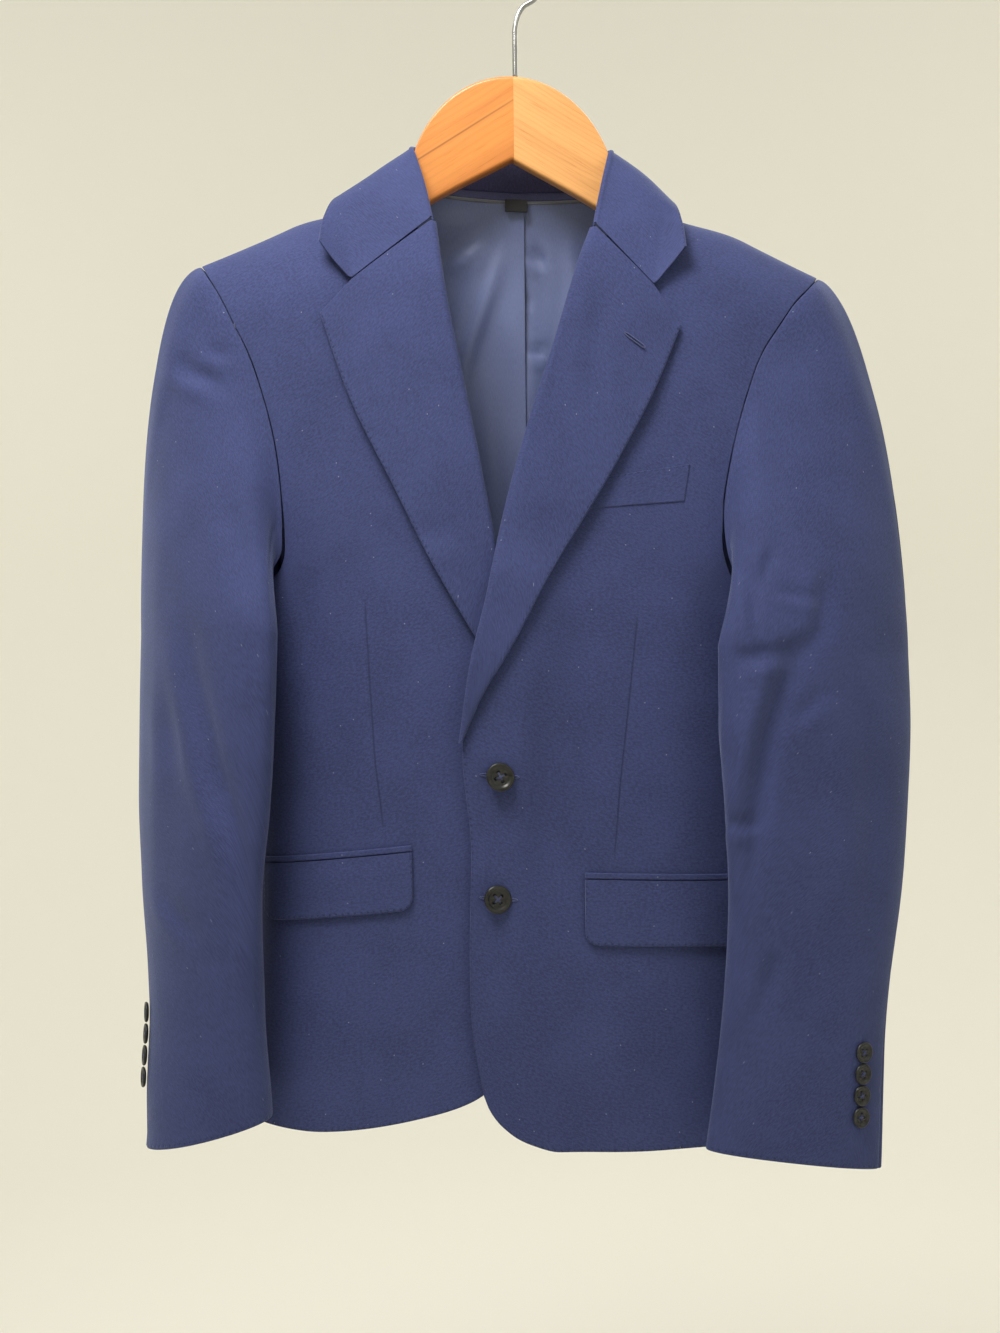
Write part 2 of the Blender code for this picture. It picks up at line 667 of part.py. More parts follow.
# Inside the back neck: heights of the facing, its piping and the top of the lining.
FACING_FOOT_Z, PIPING_FOOT_Z, LINING_TOP_Z = -180.0, -183.6, -184.0
LINING_FOOT_Z = -842.0
NECK_LEAN = 1.5  # how far the piping leans back from its foot to its top
LABEL_X, LABEL_Z, LABEL_WALL = (-8.5, 8.5), (-180.6, -190.6), 0.6
LINING_OFF = 4.4  # from the back's outer face to the lining's face, across and downwards
PLEAT, PLEAT_LIFT = 6.0, 3.0  # how far each half of the lining passes the middle and the other
LINING_EDGE = table(
    "z x",
    (-184, 61), (-215, 98), (-260, 142), (-330, 174), (-497, 182), (-640, 175), (-842, 184),
)


def lined_y(x, z):
    return depth(x, z + LINING_OFF, "back") - LINING_OFF


def neck_strip(name, x, z_top, z_foot, y_top, y_foot, wall, colour, rough):
    points = np.stack([stack(x, y_top, z_top), stack(x, y_foot, z_foot)], axis=0)
    normals = normals_of(points, np.array([0, -1.0, 0]))
    flatten(normals, np.full(points.shape[:2], True), 2)
    walled(name, points, normals, wall, colour, rough)


def inside(stand_foot):
    """Back neck facing, piping, the bare label tab and the lining's two halves."""
    x = stand_foot[:, 0]
    below = lined_y(x, LINING_TOP_Z)
    middle = below + NECK_LEAN
    neck_strip(
        "neck_facing", x, STAND_FOOT_Z - GAP, FACING_FOOT_Z, stand_foot[:, 1], middle,
        CLOTH, NAVY, 0.85,
    )
    neck_strip(
        "neck_piping", x, FACING_FOOT_Z - GAP, PIPING_FOOT_Z, middle, below, CLOTH, PIPING, 0.5
    )
    across = np.linspace(*LABEL_X, 4)
    on_lining = lined_y(0, LABEL_Z[0]) - PLEAT_LIFT - LABEL_WALL - GAP
    neck_strip("label_tab", across, *LABEL_Z, on_lining, on_lining, LABEL_WALL, LABEL, 0.6)
    for side, word, forward in ((LEFT, "left", 0.0), (RIGHT, "right", PLEAT_LIFT)):
        z = np.linspace(LINING_TOP_Z, LINING_FOOT_Z, 14)[:, None]
        edge = along(LINING_EDGE, "z", "x", z)
        a = np.linspace(0, 1, 9)[None, :]
        x = -PLEAT + (edge + PLEAT) * a
        near = ease(1 - (x + PLEAT) / (5 * PLEAT))
        points = stack(side * x, lined_y(x, z) - forward * near, z)
        normals = normals_of(points, np.array([0, -1.0, 0]))
        flatten(normals, np.indices(points.shape[:2])[0] == 0, 2)
        walled(f"lining_back_{word}", points, normals, LINING, SATIN, 0.4)


# Flap pockets: the flap's near end and far end outwards, the flap's top at each, its depth.
FLAP = {LEFT: (42, 188, -686.0, -686.0, 46.5), RIGHT: (80, 190, -670.5, -686.5, 41.0)}
FLAP_CORNER = 9.0
JET = 4.4
FLAP_OFF, WELT_OFF = 3.1, 2.0  # from the front's face to the face of what is laid on it
# The breast welt's top and bottom edges, each from its inner end to its outer end.
WELT_CORNERS = ((55.7, -402.0), (120.7, -389.5), (48.4, -424.0), (116.2, -416.4))


def on_front(x, z, side, off):
    return stack(x, front_y(x, z, side) - off, z)


def pockets():
    for side, word in ((LEFT, "left"), (RIGHT, "right")):
        near, far, near_z, far_z, deep = FLAP[side]
        u = spaced(11)[None, :]
        out = near + (far - near) * u
        top = near_z + (far_z - near_z) * u
        end = np.minimum(out - near, far - out)
        inset = np.clip(FLAP_CORNER - end, 0, FLAP_CORNER)
        corner = FLAP_CORNER - np.sqrt(FLAP_CORNER**2 - inset**2)
        v = np.linspace(0, 1, 4)[:, None]
        points = on_front(side * out, top - v * (deep - corner), side, FLAP_OFF)
        normals = normals_of(points, np.array([0, -1.0, 0]))
        walled(f"flap_{word}", points, normals, CLOTH, NAVY)
        rise = np.array([JET, 0])[:, None] + 2 * GAP
        points = on_front(side * out, top + rise, side, FLAP_OFF)
        normals = normals_of(points, np.array([0, -1.0, 0]))
        walled(f"jet_{word}", points, normals, CLOTH, NAVY)
    (ax, az), (bx, bz), (cx, cz), (dx, dz) = WELT_CORNERS
    u, v = np.linspace(0, 1, 6)[None, :], np.linspace(0, 1, 3)[:, None]
    x = (ax + (bx - ax) * u) * (1 - v) + (cx + (dx - cx) * u) * v
    z = (az + (bz - az) * u) * (1 - v) + (cz + (dz - cz) * u) * v
    points = on_front(x, z, LEFT, WELT_OFF)
    walled("breast_welt", points, normals_of(points, np.array([0, -1.0, 0])), CLOTH, NAVY)


FRONT_BUTTONS = ((-17.2, -614.7), (-20.2, -700.5))
FRONT_BUTTON, CUFF_BUTTON = (10.0, 3.6), (7.3, 2.8)  # radius and thickness
CUFF_BUTTON_Z = {LEFT: -799.0, RIGHT: -795.5}  # the topmost
CUFF_BUTTON_STEP = 15.0
BUTTON_SHANK = 1.2
CUFF_BUTTON_ANGLE = {LEFT: 47.0, RIGHT: 14.0}  # round the sleeve from its outer end
# A button's half section: distance from its axis and height, as shares of radius, thickness.
BUTTON_PROFILE = ((0, 0.7), (0.62, 0.7), (0.76, 1), (0.92, 1), (1, 0.6), (0.7, 0), (0, 0))
HORN = (0.03, 0.027, 0.022)


def button(name, radius, thick, place, facing):
    """A turned disc with a dished face, set with its back to the cloth."""
    mesh = bpy.data.meshes.new(name)
    points = [(radius * r * MM, 0, thick * h * MM) for r, h in BUTTON_PROFILE]
    mesh.from_pydata(points, [(i, i + 1) for i in range(len(points) - 1)], [])
    obj = bpy.data.objects.new(name, mesh)
    screw = obj.modifiers.new("turn", "SCREW")
    screw.steps = screw.render_steps = 16
    screw.use_merge_vertices = True
    screw.merge_threshold = 0.00001
    obj.location = tilted(place) * MM
    obj.rotation_mode = "QUATERNION"
    obj.rotation_quaternion = Vector(facing).to_track_quat("Z", "Y")
    return finish(obj, HORN, 0.3)


def sleeve_place(side, z, degrees):
    """A point on the sleeve and the direction it faces."""
    angle = math.radians(degrees)
    here, on, down = (
        ring(side, np.array(level), np.array(turn))
        for level, turn in ((z, angle), (z, angle + 0.02), (z - 2, angle))
    )
    facing = np.cross(on - here, down - here)
    facing /= np.linalg.norm(facing)
    return here, facing * (1 if facing[1] < 0 else -1)


def buttons():
    radius, thick = FRONT_BUTTON
    for word, (x, z) in zip(("upper", "lower"), FRONT_BUTTONS):
        y = float(front_y(x, z, LEFT)) - BUTTON_SHANK
        button(f"button_{word}", radius, thick, (x, y, z), (0, -1, 0))
    radius, thick = CUFF_BUTTON
    for side, word in ((LEFT, "left"), (RIGHT, "right")):
        for i in range(4):
            z = CUFF_BUTTON_Z[side] - i * CUFF_BUTTON_STEP
            here, facing = sleeve_place(side, z, CUFF_BUTTON_ANGLE[side])
            button(f"cuff_button_{word}_{i + 1}", radius, thick, here + facing, facing)


HANGER_X, MITRE_X = -3.0, -1.5
DOME_HALF, DOME_BASE_Z, DOME_TOP_Z = 79.0, -190.0, -96.0
ARM_FROM, ARM_END = 88.0, 204.0
ARM_BELOW = 10.5  # how far below the shoulder the arm's top is
HANGER_THICK, HANGER_ROUND = 12.0, 2.5
UNDER = table(
    "x z", (0, -158.5), (67, -195.4), (95, -215), (130, -239), (175, -261), (204, -272)
)
BEECH = (0.75, 0.42, 0.16)
STEEL = (0.62, 0.62, 0.62)
WIRE = 1.9
HOOK_RADIUS, HOOK_BEND_Z = 22.0, -64.0


def hanger_outline():
    """Half of the hanger from the middle of its top, out along the arm and back under."""
    turn = np.linspace(math.pi / 2, math.radians(8), 9)
    dome = np.stack(
        [DOME_HALF * np.cos(turn), DOME_BASE_Z + (DOME_TOP_Z - DOME_BASE_Z) * np.sin(turn)], 1
    )
    x = np.linspace(ARM_FROM, ARM_END, 6)
    arm = np.stack([x, ridge(x) - ARM_BELOW], 1)
    x = np.linspace(ARM_END, 0, 12)
    return np.concatenate([dome, arm, np.stack([x, along(UNDER, "x", "z", x)], 1)])


def hanger():
    """One flat board with rounded edges, cut at the mitre into its two arms."""
    half = hanger_outline()
    other = half[-2:0:-1] * (-1, 1)
    outline = np.concatenate([half, other])
    curve = bpy.data.curves.new("hanger", "CURVE")
    curve.dimensions = "2D"
    curve.fill_mode = "BOTH"
    curve.extrude = (HANGER_THICK / 2 - HANGER_ROUND) * MM
    curve.bevel_depth = HANGER_ROUND * MM
    curve.offset = -HANGER_ROUND * MM
    curve.bevel_resolution = 1
    spline = curve.splines.new("POLY")
    spline.points.add(len(outline) - 1)
    spline.use_cyclic_u = True
    places = tilted(stack(outline[:, 0] + HANGER_X, 0.0, outline[:, 1]))
    for point, (x, _, z) in zip(spline.points, places):
        point.co = (x * MM, z * MM, 0, 1)
    board = bpy.data.objects.new("hanger", curve)
    bpy.context.scene.collection.objects.link(board)
    whole = board.evaluated_get(bpy.context.evaluated_depsgraph_get())
    mesh = bpy.data.meshes.new_from_object(whole)
    bpy.data.objects.remove(board)
    mesh.transform(Matrix.Rotation(math.pi / 2, 4, "X"))
    for word, sign in (("left", 1), ("right", -1)):
        made = bmesh.new()
        made.from_mesh(mesh)
        bmesh.ops.remove_doubles(made, verts=made.verts, dist=0.00001)
        bmesh.ops.bisect_plane(
            made,
            geom=[*made.verts, *made.edges, *made.faces],
            plane_co=((MITRE_X + sign * GAP / 2) * MM, 0, 0),
            plane_no=(-sign, 0, 0),
            clear_outer=True,
        )
        bmesh.ops.holes_fill(made, edges=made.edges)
        bmesh.ops.triangulate(made, faces=made.faces)
        bmesh.ops.recalc_face_normals(made, faces=made.faces)
        arm = bpy.data.meshes.new(f"hanger_arm_{word}")
        made.to_mesh(arm)
        made.free()
        finish(bpy.data.objects.new(f"hanger_arm_{word}", arm), BEECH, 0.35)


def hook():
    """A wire: a straight stem, a bend to one side, and a round hook over the hanging point."""
    middle = -HOOK_RADIUS + WIRE
    points = [(0, DOME_TOP_Z + GAP), (0, -80), (0, HOOK_BEND_Z), (0.9, -57), (3.4, -50)]
    for turn in np.radians(np.linspace(-63, 206, 22)):
        points.append((HOOK_RADIUS * math.cos(turn), middle + HOOK_RADIUS * math.sin(turn)))
    curve = bpy.data.curves.new("hanger_hook", "CURVE")
    curve.dimensions = "3D"
    curve.bevel_depth = WIRE * MM
    curve.bevel_resolution = 2
    curve.use_fill_caps = True
    spline = curve.splines.new("POLY")
    spline.points.add(len(points) - 1)
    for point, (x, z) in zip(spline.points, points):
        point.co = (x * MM, 0, (z - HANG_TILT * x) * MM, 1)
    return finish(bpy.data.objects.new("hanger_hook", curve), STEEL, 0.25, 1.0)


def clear_scene():
    for obj in list(bpy.data.objects):
        bpy.data.objects.remove(obj, do_unlink=True)
    collection = bpy.data.collections.new(COLLECTION)
    bpy.context.scene.collection.children.link(collection)


def main():
    clear_scene()
    edges = body_panels()
    sleeves(edges)
    lapels()
    inside(collar())
    pockets()
    buttons()
    hanger()
    hook()


main()
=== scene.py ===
"""Looks for a single breasted blazer on a wooden hanger.

Cloth pieces are surfaces of two parameters on the hung jacket's form, in millimetres, and
become metres as each mesh is made. X runs to the wearer's left, -Y is the front, Z is up and
the origin is the inside top of the hook. Down to the mesh, heights are measured as if the
hanger were level; the last step lets everything fall a little towards the wearer's left.
"""

import math

import bpy
import numpy as np
from bpy.props import FloatProperty, FloatVectorProperty, PointerProperty
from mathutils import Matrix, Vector


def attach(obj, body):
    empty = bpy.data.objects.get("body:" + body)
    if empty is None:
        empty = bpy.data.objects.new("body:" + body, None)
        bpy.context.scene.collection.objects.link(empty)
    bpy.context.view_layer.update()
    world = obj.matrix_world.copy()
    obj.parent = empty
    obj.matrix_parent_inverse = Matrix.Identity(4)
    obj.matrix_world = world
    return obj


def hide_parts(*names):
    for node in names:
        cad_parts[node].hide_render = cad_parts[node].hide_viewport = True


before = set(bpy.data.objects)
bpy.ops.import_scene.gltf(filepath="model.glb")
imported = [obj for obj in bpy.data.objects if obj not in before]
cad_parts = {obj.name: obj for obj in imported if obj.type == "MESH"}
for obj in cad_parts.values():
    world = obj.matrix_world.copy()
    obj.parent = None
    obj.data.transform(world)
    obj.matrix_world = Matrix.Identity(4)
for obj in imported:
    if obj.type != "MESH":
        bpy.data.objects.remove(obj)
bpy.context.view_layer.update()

bl_info = {
    "name": "Hung Blazer",
    "version": (1, 0, 0),
    "blender": (4, 5, 0),
    "location": "3D View > Sidebar > Blazer",
    "description": "Builds the cloth, trims, hanger and studio of a blazer on a hanger",
    "category": "Add Mesh",
}

MM = 0.001
GAP = 0.3
ARMHOLE_GAP = 0.5
CLOTH, LINING = 1.6, 1.0
HANG_TILT = 0.04
LEFT, RIGHT = 1, -1  # the wearer's sides, as signs of X
SIDES = ((LEFT, "left"), (RIGHT, "right"))

NECK_X, NECK_Z = 98.0, -191.2
SHOULDER_SLOPE, SHOULDER_ROLL = 0.493, 55.0
CLOSER = 0.85
BODY_ROUND = 2.4
UNDERARM_Z, HEM_Z = -497.0, -873.0
BACK_NECK_Z, BACK_HEM_Z = -186.0, -862.0
ARM_SHARE_OF_ROWS = 10 / 18  # of a body panel's rows, those beside the armhole


def table(columns, *rows):
    """Rows under named columns, as one array for each column."""
    return dict(zip(columns.split(), np.array(rows, float).T))


BODY = table(
    "z half_width front back",
    (-150, 262, 22, 26),
    (-220, 254, 42, 38),
    (-262, 246, 53, 43),
    (-349, 235, 63, 48),
    (-424, 223, 69, 49),
    (-466, 215, 71, 48),
    (-497, 208, 73, 46),
    (-560, 201, 75, 42),
    (-640, 195, 74, 39),
    (-760, 200, 72, 42),
    (-900, 214, 67, 48),
)
# The inner edge of each front: the neckline, the roll line, then the front edge.
EDGE = {
    LEFT: table(
        "z x",
        (-191.2, 98), (-204, 84), (-219, 68), (-236, 55), (-270, 42), (-304, 31.5),
        (-361, 13), (-412, -2), (-490, -21), (-533, -32), (-575, -41), (-600, -43.3),
        (-667, -38), (-745, -39.8), (-800, -38), (-841, -31),
    ),
    RIGHT: table(
        "z x",
        (-191.2, -98), (-204, -86), (-219, -73), (-236, -64.5), (-270, -58), (-304, -52),
        (-361, -41), (-412, -31), (-490, -15.5), (-533, -4), (-575, 4), (-600, 6.5),
        (-667, 7), (-745, 5), (-780, 2), (-805, -3),
    ),
}
ARMHOLE = {
    LEFT: table(
        "z x",
        (-251.9, 221), (-262, 212), (-272, 200), (-299, 179), (-335, 164), (-364, 155.5),
        (-393, 148.5), (-421, 144.5), (-455, 145), (-475, 155), (-489, 176), (-497, 208),
    ),
    RIGHT: table(
        "z x",
        (-255.8, -229), (-265, -223), (-282, -211), (-314, -195), (-349, -184), (-381, -176.5),
        (-424, -171.5), (-455, -170), (-472, -174), (-486, -187), (-493, -198), (-497, -208),
    ),
}
BACK_SCYE = (
    (-268, 219), (-290, 211), (-320, 203.5), (-360, 198), (-420, 195),
    (-455, 196), (-475, 199), (-489, 203), (-497, 208),
)
BACK_ARMHOLE = {
    side: table(
        "z x",
        (ARMHOLE[side]["z"][0], ARMHOLE[side]["x"][0]),
        *((z, side * x) for z, x in BACK_SCYE),
    )
    for side in (LEFT, RIGHT)
}
HEM = {
    LEFT: table(
        "x z",
        (-31, -841), (-27, -851), (-13, -867), (8, -877), (22, -880), (78, -879.5),
        (120, -877), (166, -875), (214, -873),
    ),
    RIGHT: table(
        "x z",
        (-214, -873), (-190, -875), (-161, -876), (-126, -872.5), (-76, -861), (-44.5, -850),
        (-31, -842), (-14, -826), (-3, -805),
    ),
}
# How far the over front stands clear of the under front and its lapel, and where that starts.
OVERLAP = table(
    "z lift",
    (-400, 0), (-440, 3), (-475, 10.4), (-592, 10.8), (-640, 7.5), (-700, 5.5), (-880, 5),
)
LIFT_FROM_X, LIFT_OVER = 48.0, 50.0


def along(rows, key, column, at):
    """The column's smooth curve through its rows: a cubic on each stretch, with the slopes
    at the rows taken from their neighbours. Past the ends it keeps the end's value."""
    order = np.argsort(rows[key])
    xs, ys = rows[key][order], rows[column][order]
    steps = np.diff(ys) / np.diff(xs)
    slopes = np.concatenate([steps[:1], (steps[:-1] + steps[1:]) / 2, steps[-1:]])
    flat = np.concatenate([[False], steps[:-1] * steps[1:] <= 0, [False]])
    slopes[flat] = 0
    at = np.clip(np.asarray(at, float), xs[0], xs[-1])
    i = np.clip(np.searchsorted(xs, at) - 1, 0, len(xs) - 2)
    width = xs[i + 1] - xs[i]
    t = (at - xs[i]) / width
    return (
        (1 + 2 * t) * (1 - t) ** 2 * ys[i]
        + t * (1 - t) ** 2 * width * slopes[i]
        + t * t * (3 - 2 * t) * ys[i + 1]
        + t * t * (t - 1) * width * slopes[i + 1]
    )


def ease(t):
    """0 to 1, smooth at both ends."""
    t = np.clip(t, 0, 1)
    return t * t * (3 - 2 * t)


def spaced(count):
    """0 to 1 in steps that are finer towards both ends."""
    return (1 - np.cos(np.linspace(0, math.pi, count))) / 2


def ridge(x):
    """Height of the shoulder line, which falls evenly from the neck to the shoulder point."""
    return NECK_Z - SHOULDER_SLOPE * (np.abs(x) - NECK_X)


def depth(x, z, half):
    """Distance of the front or back from the mid-plane: a rounded section that falls to
    nothing at the side, turned over to nothing at the shoulder line."""
    across = np.clip(np.abs(x) / along(BODY, "z", "half_width", z), 0, 1)
    section = (1 - across**BODY_ROUND) ** (1 / BODY_ROUND)
    drop = np.clip((ridge(x) - z) / SHOULDER_ROLL, 0, 1)
    return along(BODY, "z", half, z) * section * np.sqrt(drop * (2 - drop))


def front_y(x, z, side):
    """The outer face of a front. The over front stands clear where the fronts cross."""
    y = -depth(x, z, "front")
    if side == LEFT:
        y = y - along(OVERLAP, "z", "lift", z) * ease((LIFT_FROM_X - x) / LIFT_OVER)
    return y


def by_length(rows, share):
    """Points at shares of the length of a table's curve in X and Z."""
    z = np.linspace(rows["z"].max(), rows["z"].min(), 400)
    x = along(rows, "z", "x", z)
    run = np.concatenate([[0], np.cumsum(np.hypot(np.diff(x), np.diff(z)))])
    at = run[-1] * share
    return np.interp(at, run, x), np.interp(at, run, z)


def stack(x, y, z):
    x, y, z = np.broadcast_arrays(x, y, z)
    return np.stack([x, y, z], axis=-1)


def arm_shares(t):
    """Shares of an armhole's length down its rows, closer near the shoulder and underarm."""
    return (1 - CLOSER) * t + CLOSER * (1 - np.cos(math.pi * t)) / 2


def panel_rows(down):
    """A body panel's rows as the shares gone down beside the armhole and down the side."""
    return (
        np.clip(down / ARM_SHARE_OF_ROWS, 0, 1),
        np.clip((down - ARM_SHARE_OF_ROWS) / (1 - ARM_SHARE_OF_ROWS), 0, 1),
    )


def outer_edge(rows, side, down):
    """The armhole down to the underarm, then the side seam to the hem."""
    arm, below = panel_rows(down)
    x, z = by_length(rows, arm_shares(arm))
    side_z = UNDERARM_Z + (HEM_Z - UNDERARM_Z) * below
    side_x = side * along(BODY, "z", "half_width", side_z)
    return np.where(below > 0, side_x, x), np.where(below > 0, side_z, z)


def inner_heights(top, foot, down):
    """Heights down a panel's inner edge, closer near the shoulder's turn and level with the
    outer edge from the underarm down."""
    arm, below = panel_rows(down)
    return top + (UNDERARM_Z - top) * arm**1.5 + (foot - UNDERARM_Z) * below


def bent(x, z, bend, side, a, d):
    """A panel's X and Z with its hem bent down. The side edge stays on the body's width."""
    width, bent_width = (along(BODY, "z", "half_width", level) for level in (z, z + bend))
    return x + side * (bent_width - width) * a * (d > ARM_SHARE_OF_ROWS), z + bend


def front_panel(side, down, across):
    """Rows ruled from the inner edge to the outer edge, bent down to the hem's curve."""
    outer_x, outer_z = outer_edge(ARMHOLE[side], side, down)
    inner_z = inner_heights(EDGE[side]["z"].max(), EDGE[side]["z"].min(), down)
    inner_x = along(EDGE[side], "z", "x", inner_z)
    a, d = across[None, :], down[:, None]
    x = inner_x[:, None] * (1 - a) + outer_x[:, None] * a
    z = inner_z[:, None] * (1 - a) + outer_z[:, None] * a
    x, z = bent(x, z, (along(HEM[side], "x", "z", x[-1:]) - z[-1:]) * d**5, side, a, d)
    return stack(x, front_y(x, z, side) - GAP / 2, z)


def back_panel(side, down, across):
    """The same from the centre seam, with its top raised to the back neck and shoulder."""
    outer_x, outer_z = outer_edge(BACK_ARMHOLE[side], side, down)
    inner_z = inner_heights(BACK_NECK_Z, BACK_HEM_Z, down)
    a, d = across[None, :], down[:, None]
    x = side * GAP / 2 * (1 - a) + outer_x[:, None] * a
    z = inner_z[:, None] * (1 - a) + outer_z[:, None] * a
    hem = BACK_HEM_Z + (HEM_Z - BACK_HEM_Z) * (x[-1:] / outer_x[-1]) ** 2
    x, z = bent(x, z, (hem - z[-1:]) * d**5, side, a, d)
    neck = BACK_NECK_Z + (NECK_Z - BACK_NECK_Z) * (x[:1] / NECK_X) ** 2
    top = np.where(np.abs(x[:1]) < NECK_X, neck, ridge(x[:1]))
    z = z + (top - z[:1]) * (1 - d) ** 4
    return stack(x, depth(x, z, "back") + GAP / 2, z)


def normals_of(points, outward):
    """Unit normals of a grid, turned to the side that the directions given point to."""
    normals = np.cross(np.gradient(points, axis=0), np.gradient(points, axis=1))
    length = np.linalg.norm(normals, axis=2, keepdims=True)
    normals = normals / np.maximum(length, 1e-9)
    return normals * (np.sign((normals * outward).sum()) or 1)


# How far the padding lifts the shoulder line, from where out, over what width and how deep.
PAD_LIFT, PAD_FROM, PAD_ACROSS, PAD_DEEP = 11.5, 105.0, 65.0, 60.0
# How far each sleeve's outer side spreads, from where out and over what width.
SPREAD_FROM, SPREAD_ACROSS = 170.0, 100.0
SPREAD = {
    LEFT: table(
        "z out",
        (-250, 6), (-420, 6.5), (-560, 6), (-650, 4.5), (-740, 1), (-800, -4), (-880, -6),
    ),
    RIGHT: table(
        "z out", (-250, 11.4), (-420, 12.3), (-560, 12.4), (-650, 13), (-700, 11), (-760, 4),
        (-810, 0), (-880, -6),
    ),
}


def tilted(points):
    """The last step of every piece: padding lifts the shoulders, the sleeves spread, and the
    hanger's tilt lets everything fall a little towards the wearer's left."""
    points = np.array(points, float)
    x, z = points[..., 0].copy(), points[..., 2].copy()
    lift = ease((np.abs(x) - PAD_FROM) / PAD_ACROSS) * (1 - ease((ridge(x) - z) / PAD_DEEP))
    for side in (LEFT, RIGHT):
        share = ease((side * x - SPREAD_FROM) / SPREAD_ACROSS)
        points[..., 0] += side * share * along(SPREAD[side], "z", "out", z)
    points[..., 2] = z + PAD_LIFT * lift - HANG_TILT * x
    return points


# ---------------------------------------------------------------- cloth on its form

EDGE_STEPS = np.array([0.15, 0.35, 0.65, 1.0, 1.5, 2.2, 3.2])  # mm from a finished edge


def steps(count, length, first=True, last=True):
    """Even shares with extra ones close to the ends, where a finished edge rolls under."""
    t = [np.linspace(0, 1, count)]
    if first:
        t.append(EDGE_STEPS / length)
    if last:
        t.append(1 - EDGE_STEPS / length)
    return np.unique(np.round(np.concatenate(t), 6))


def run_along(points, axis):
    """Distance gone along a grid's rows or columns, in millimetres."""
    leg = np.linalg.norm(np.diff(points, axis=axis), axis=-1)
    start = np.zeros_like(np.take(leg, [0], axis=axis))
    return np.concatenate([start, np.cumsum(leg, axis=axis)], axis=axis)


def rolled(points, normals, **radii):
    """Finished edges: within its radius of an edge the cloth sinks along a quarter circle.
    The edges are top, foot, near and far, for the grid's first and last row, then column."""
    down, across = run_along(points, 0), run_along(points, 1)
    away = {
        "top": down,
        "foot": down[-1:] - down,
        "near": across,
        "far": across[:, -1:] - across,
    }
    sink = np.zeros(points.shape[:2])
    for edge, radius in radii.items():
        short = np.clip(radius - away[edge], 0, radius)
        sink = np.maximum(sink, radius - np.sqrt(radius**2 - short**2))
    return points - normals * sink[..., None]


def off_line(points, path):
    """Where a grid's points lie beside a path in X and Z: the distance from its nearest leg,
    the distance off it with a sign for the side, and the share gone along it. Beyond the ends
    the last two go on along the end legs."""
    path = np.array(path, float)
    start, leg = path[:-1], np.diff(path, axis=0)
    length = np.linalg.norm(leg, axis=1)
    done = np.concatenate([[0], np.cumsum(length)])
    best = np.full(points.shape[:2], np.inf)
    off, share = np.zeros_like(best), np.zeros_like(best)
    for i in range(len(leg)):
        dx, dz = points[..., 0] - start[i, 0], points[..., 2] - start[i, 1]
        t = (dx * leg[i, 0] + dz * leg[i, 1]) / length[i] ** 2
        held = np.clip(t, 0, 1)
        away = np.hypot(dx - held * leg[i, 0], dz - held * leg[i, 1])
        near = away < best
        best = np.where(near, away, best)
        off = np.where(near, (dx * leg[i, 1] - dz * leg[i, 0]) / length[i], off)
        share = np.where(near, (done[i] + t * length[i]) / done[-1], share)
    return best, off, share


def crease_field(points, creases):
    """Height of the creases at a grid's points. Each is a path in X and Z with a width and a
    depth: a soft trough that fades at both ends, with a lower ridge beside it."""
    height = np.zeros(points.shape[:2])
    for path, width, deep, lip in creases:
        best, off, share = off_line(points, path)
        off = best * np.sign(off)
        fade = np.sin(math.pi * np.clip(share, 0, 1)) ** 0.7
        fade = np.maximum(fade, 0.12 * np.exp(-((best / width) ** 2)))
        trough = np.exp(-((off / width) ** 2))
        beside = np.exp(-(((off - 1.9 * width) / (0.9 * width)) ** 2))
        height += fade * (lip * beside - deep * trough)
    return height


def waves(points, size, amount, turn):
    """Very soft unevenness of hanging cloth: a sum of slow waves in different directions."""
    x, z = points[..., 0] / size, points[..., 2] / size
    return amount * (
        np.sin(x * 1.0 + z * 0.35 + turn)
        + 0.7 * np.sin(x * 0.45 - z * 1.1 + 2.1 * turn)
        + 0.5 * np.sin(x * 1.7 + z * 0.9 + 3.3 * turn)
    )


def facing(normals, sign):
    """How squarely each point faces the front (-1) or the back (1), 0 to 1."""
    return np.clip(sign * normals[..., 1], 0, 1) ** 0.7


def move_by(points, normals, height):
    return points + normals * height[..., None]


def grid_mesh(name, points, facing_to, material, layers, ring=False):
    """Puts a grid of metres into a mesh whose faces look towards the directions given, with
    a UV map for each of the layers. A ring's last column is its first one again."""
    rows, columns = points.shape[:2]
    kept = columns - 1 if ring else columns
    index = np.arange(rows)[:, None] * kept + np.arange(columns)[None, :] % kept
    i, j = np.indices((rows - 1, columns - 1)).reshape(2, -1)
    corner_i = np.stack([i, i + 1, i + 1, i], axis=1)
    corner_j = np.stack([j, j, j + 1, j + 1], axis=1)
    normals = np.cross(np.gradient(points, axis=0), np.gradient(points, axis=1))
    if (normals * facing_to).sum() < 0:
        corner_i, corner_j = corner_i[:, ::-1], corner_j[:, ::-1]
    mesh = bpy.data.meshes.new(name)
    vertices = points[:, :kept].reshape(-1, 3)
    mesh.from_pydata(vertices.tolist(), [], index[corner_i, corner_j].tolist())
    for layer, uv in layers.items():
        values = uv[corner_i, corner_j].reshape(-1)
        mesh.uv_layers.new(name=layer).data.foreach_set("uv", values)
    mesh.materials.append(material)
    mesh.shade_smooth()
    obj = bpy.data.objects.new(name, mesh)
    bpy.context.scene.collection.objects.link(obj)
    return obj


FAR_AWAY = 1000.0  # mm, where a piece has no finished edge or seam


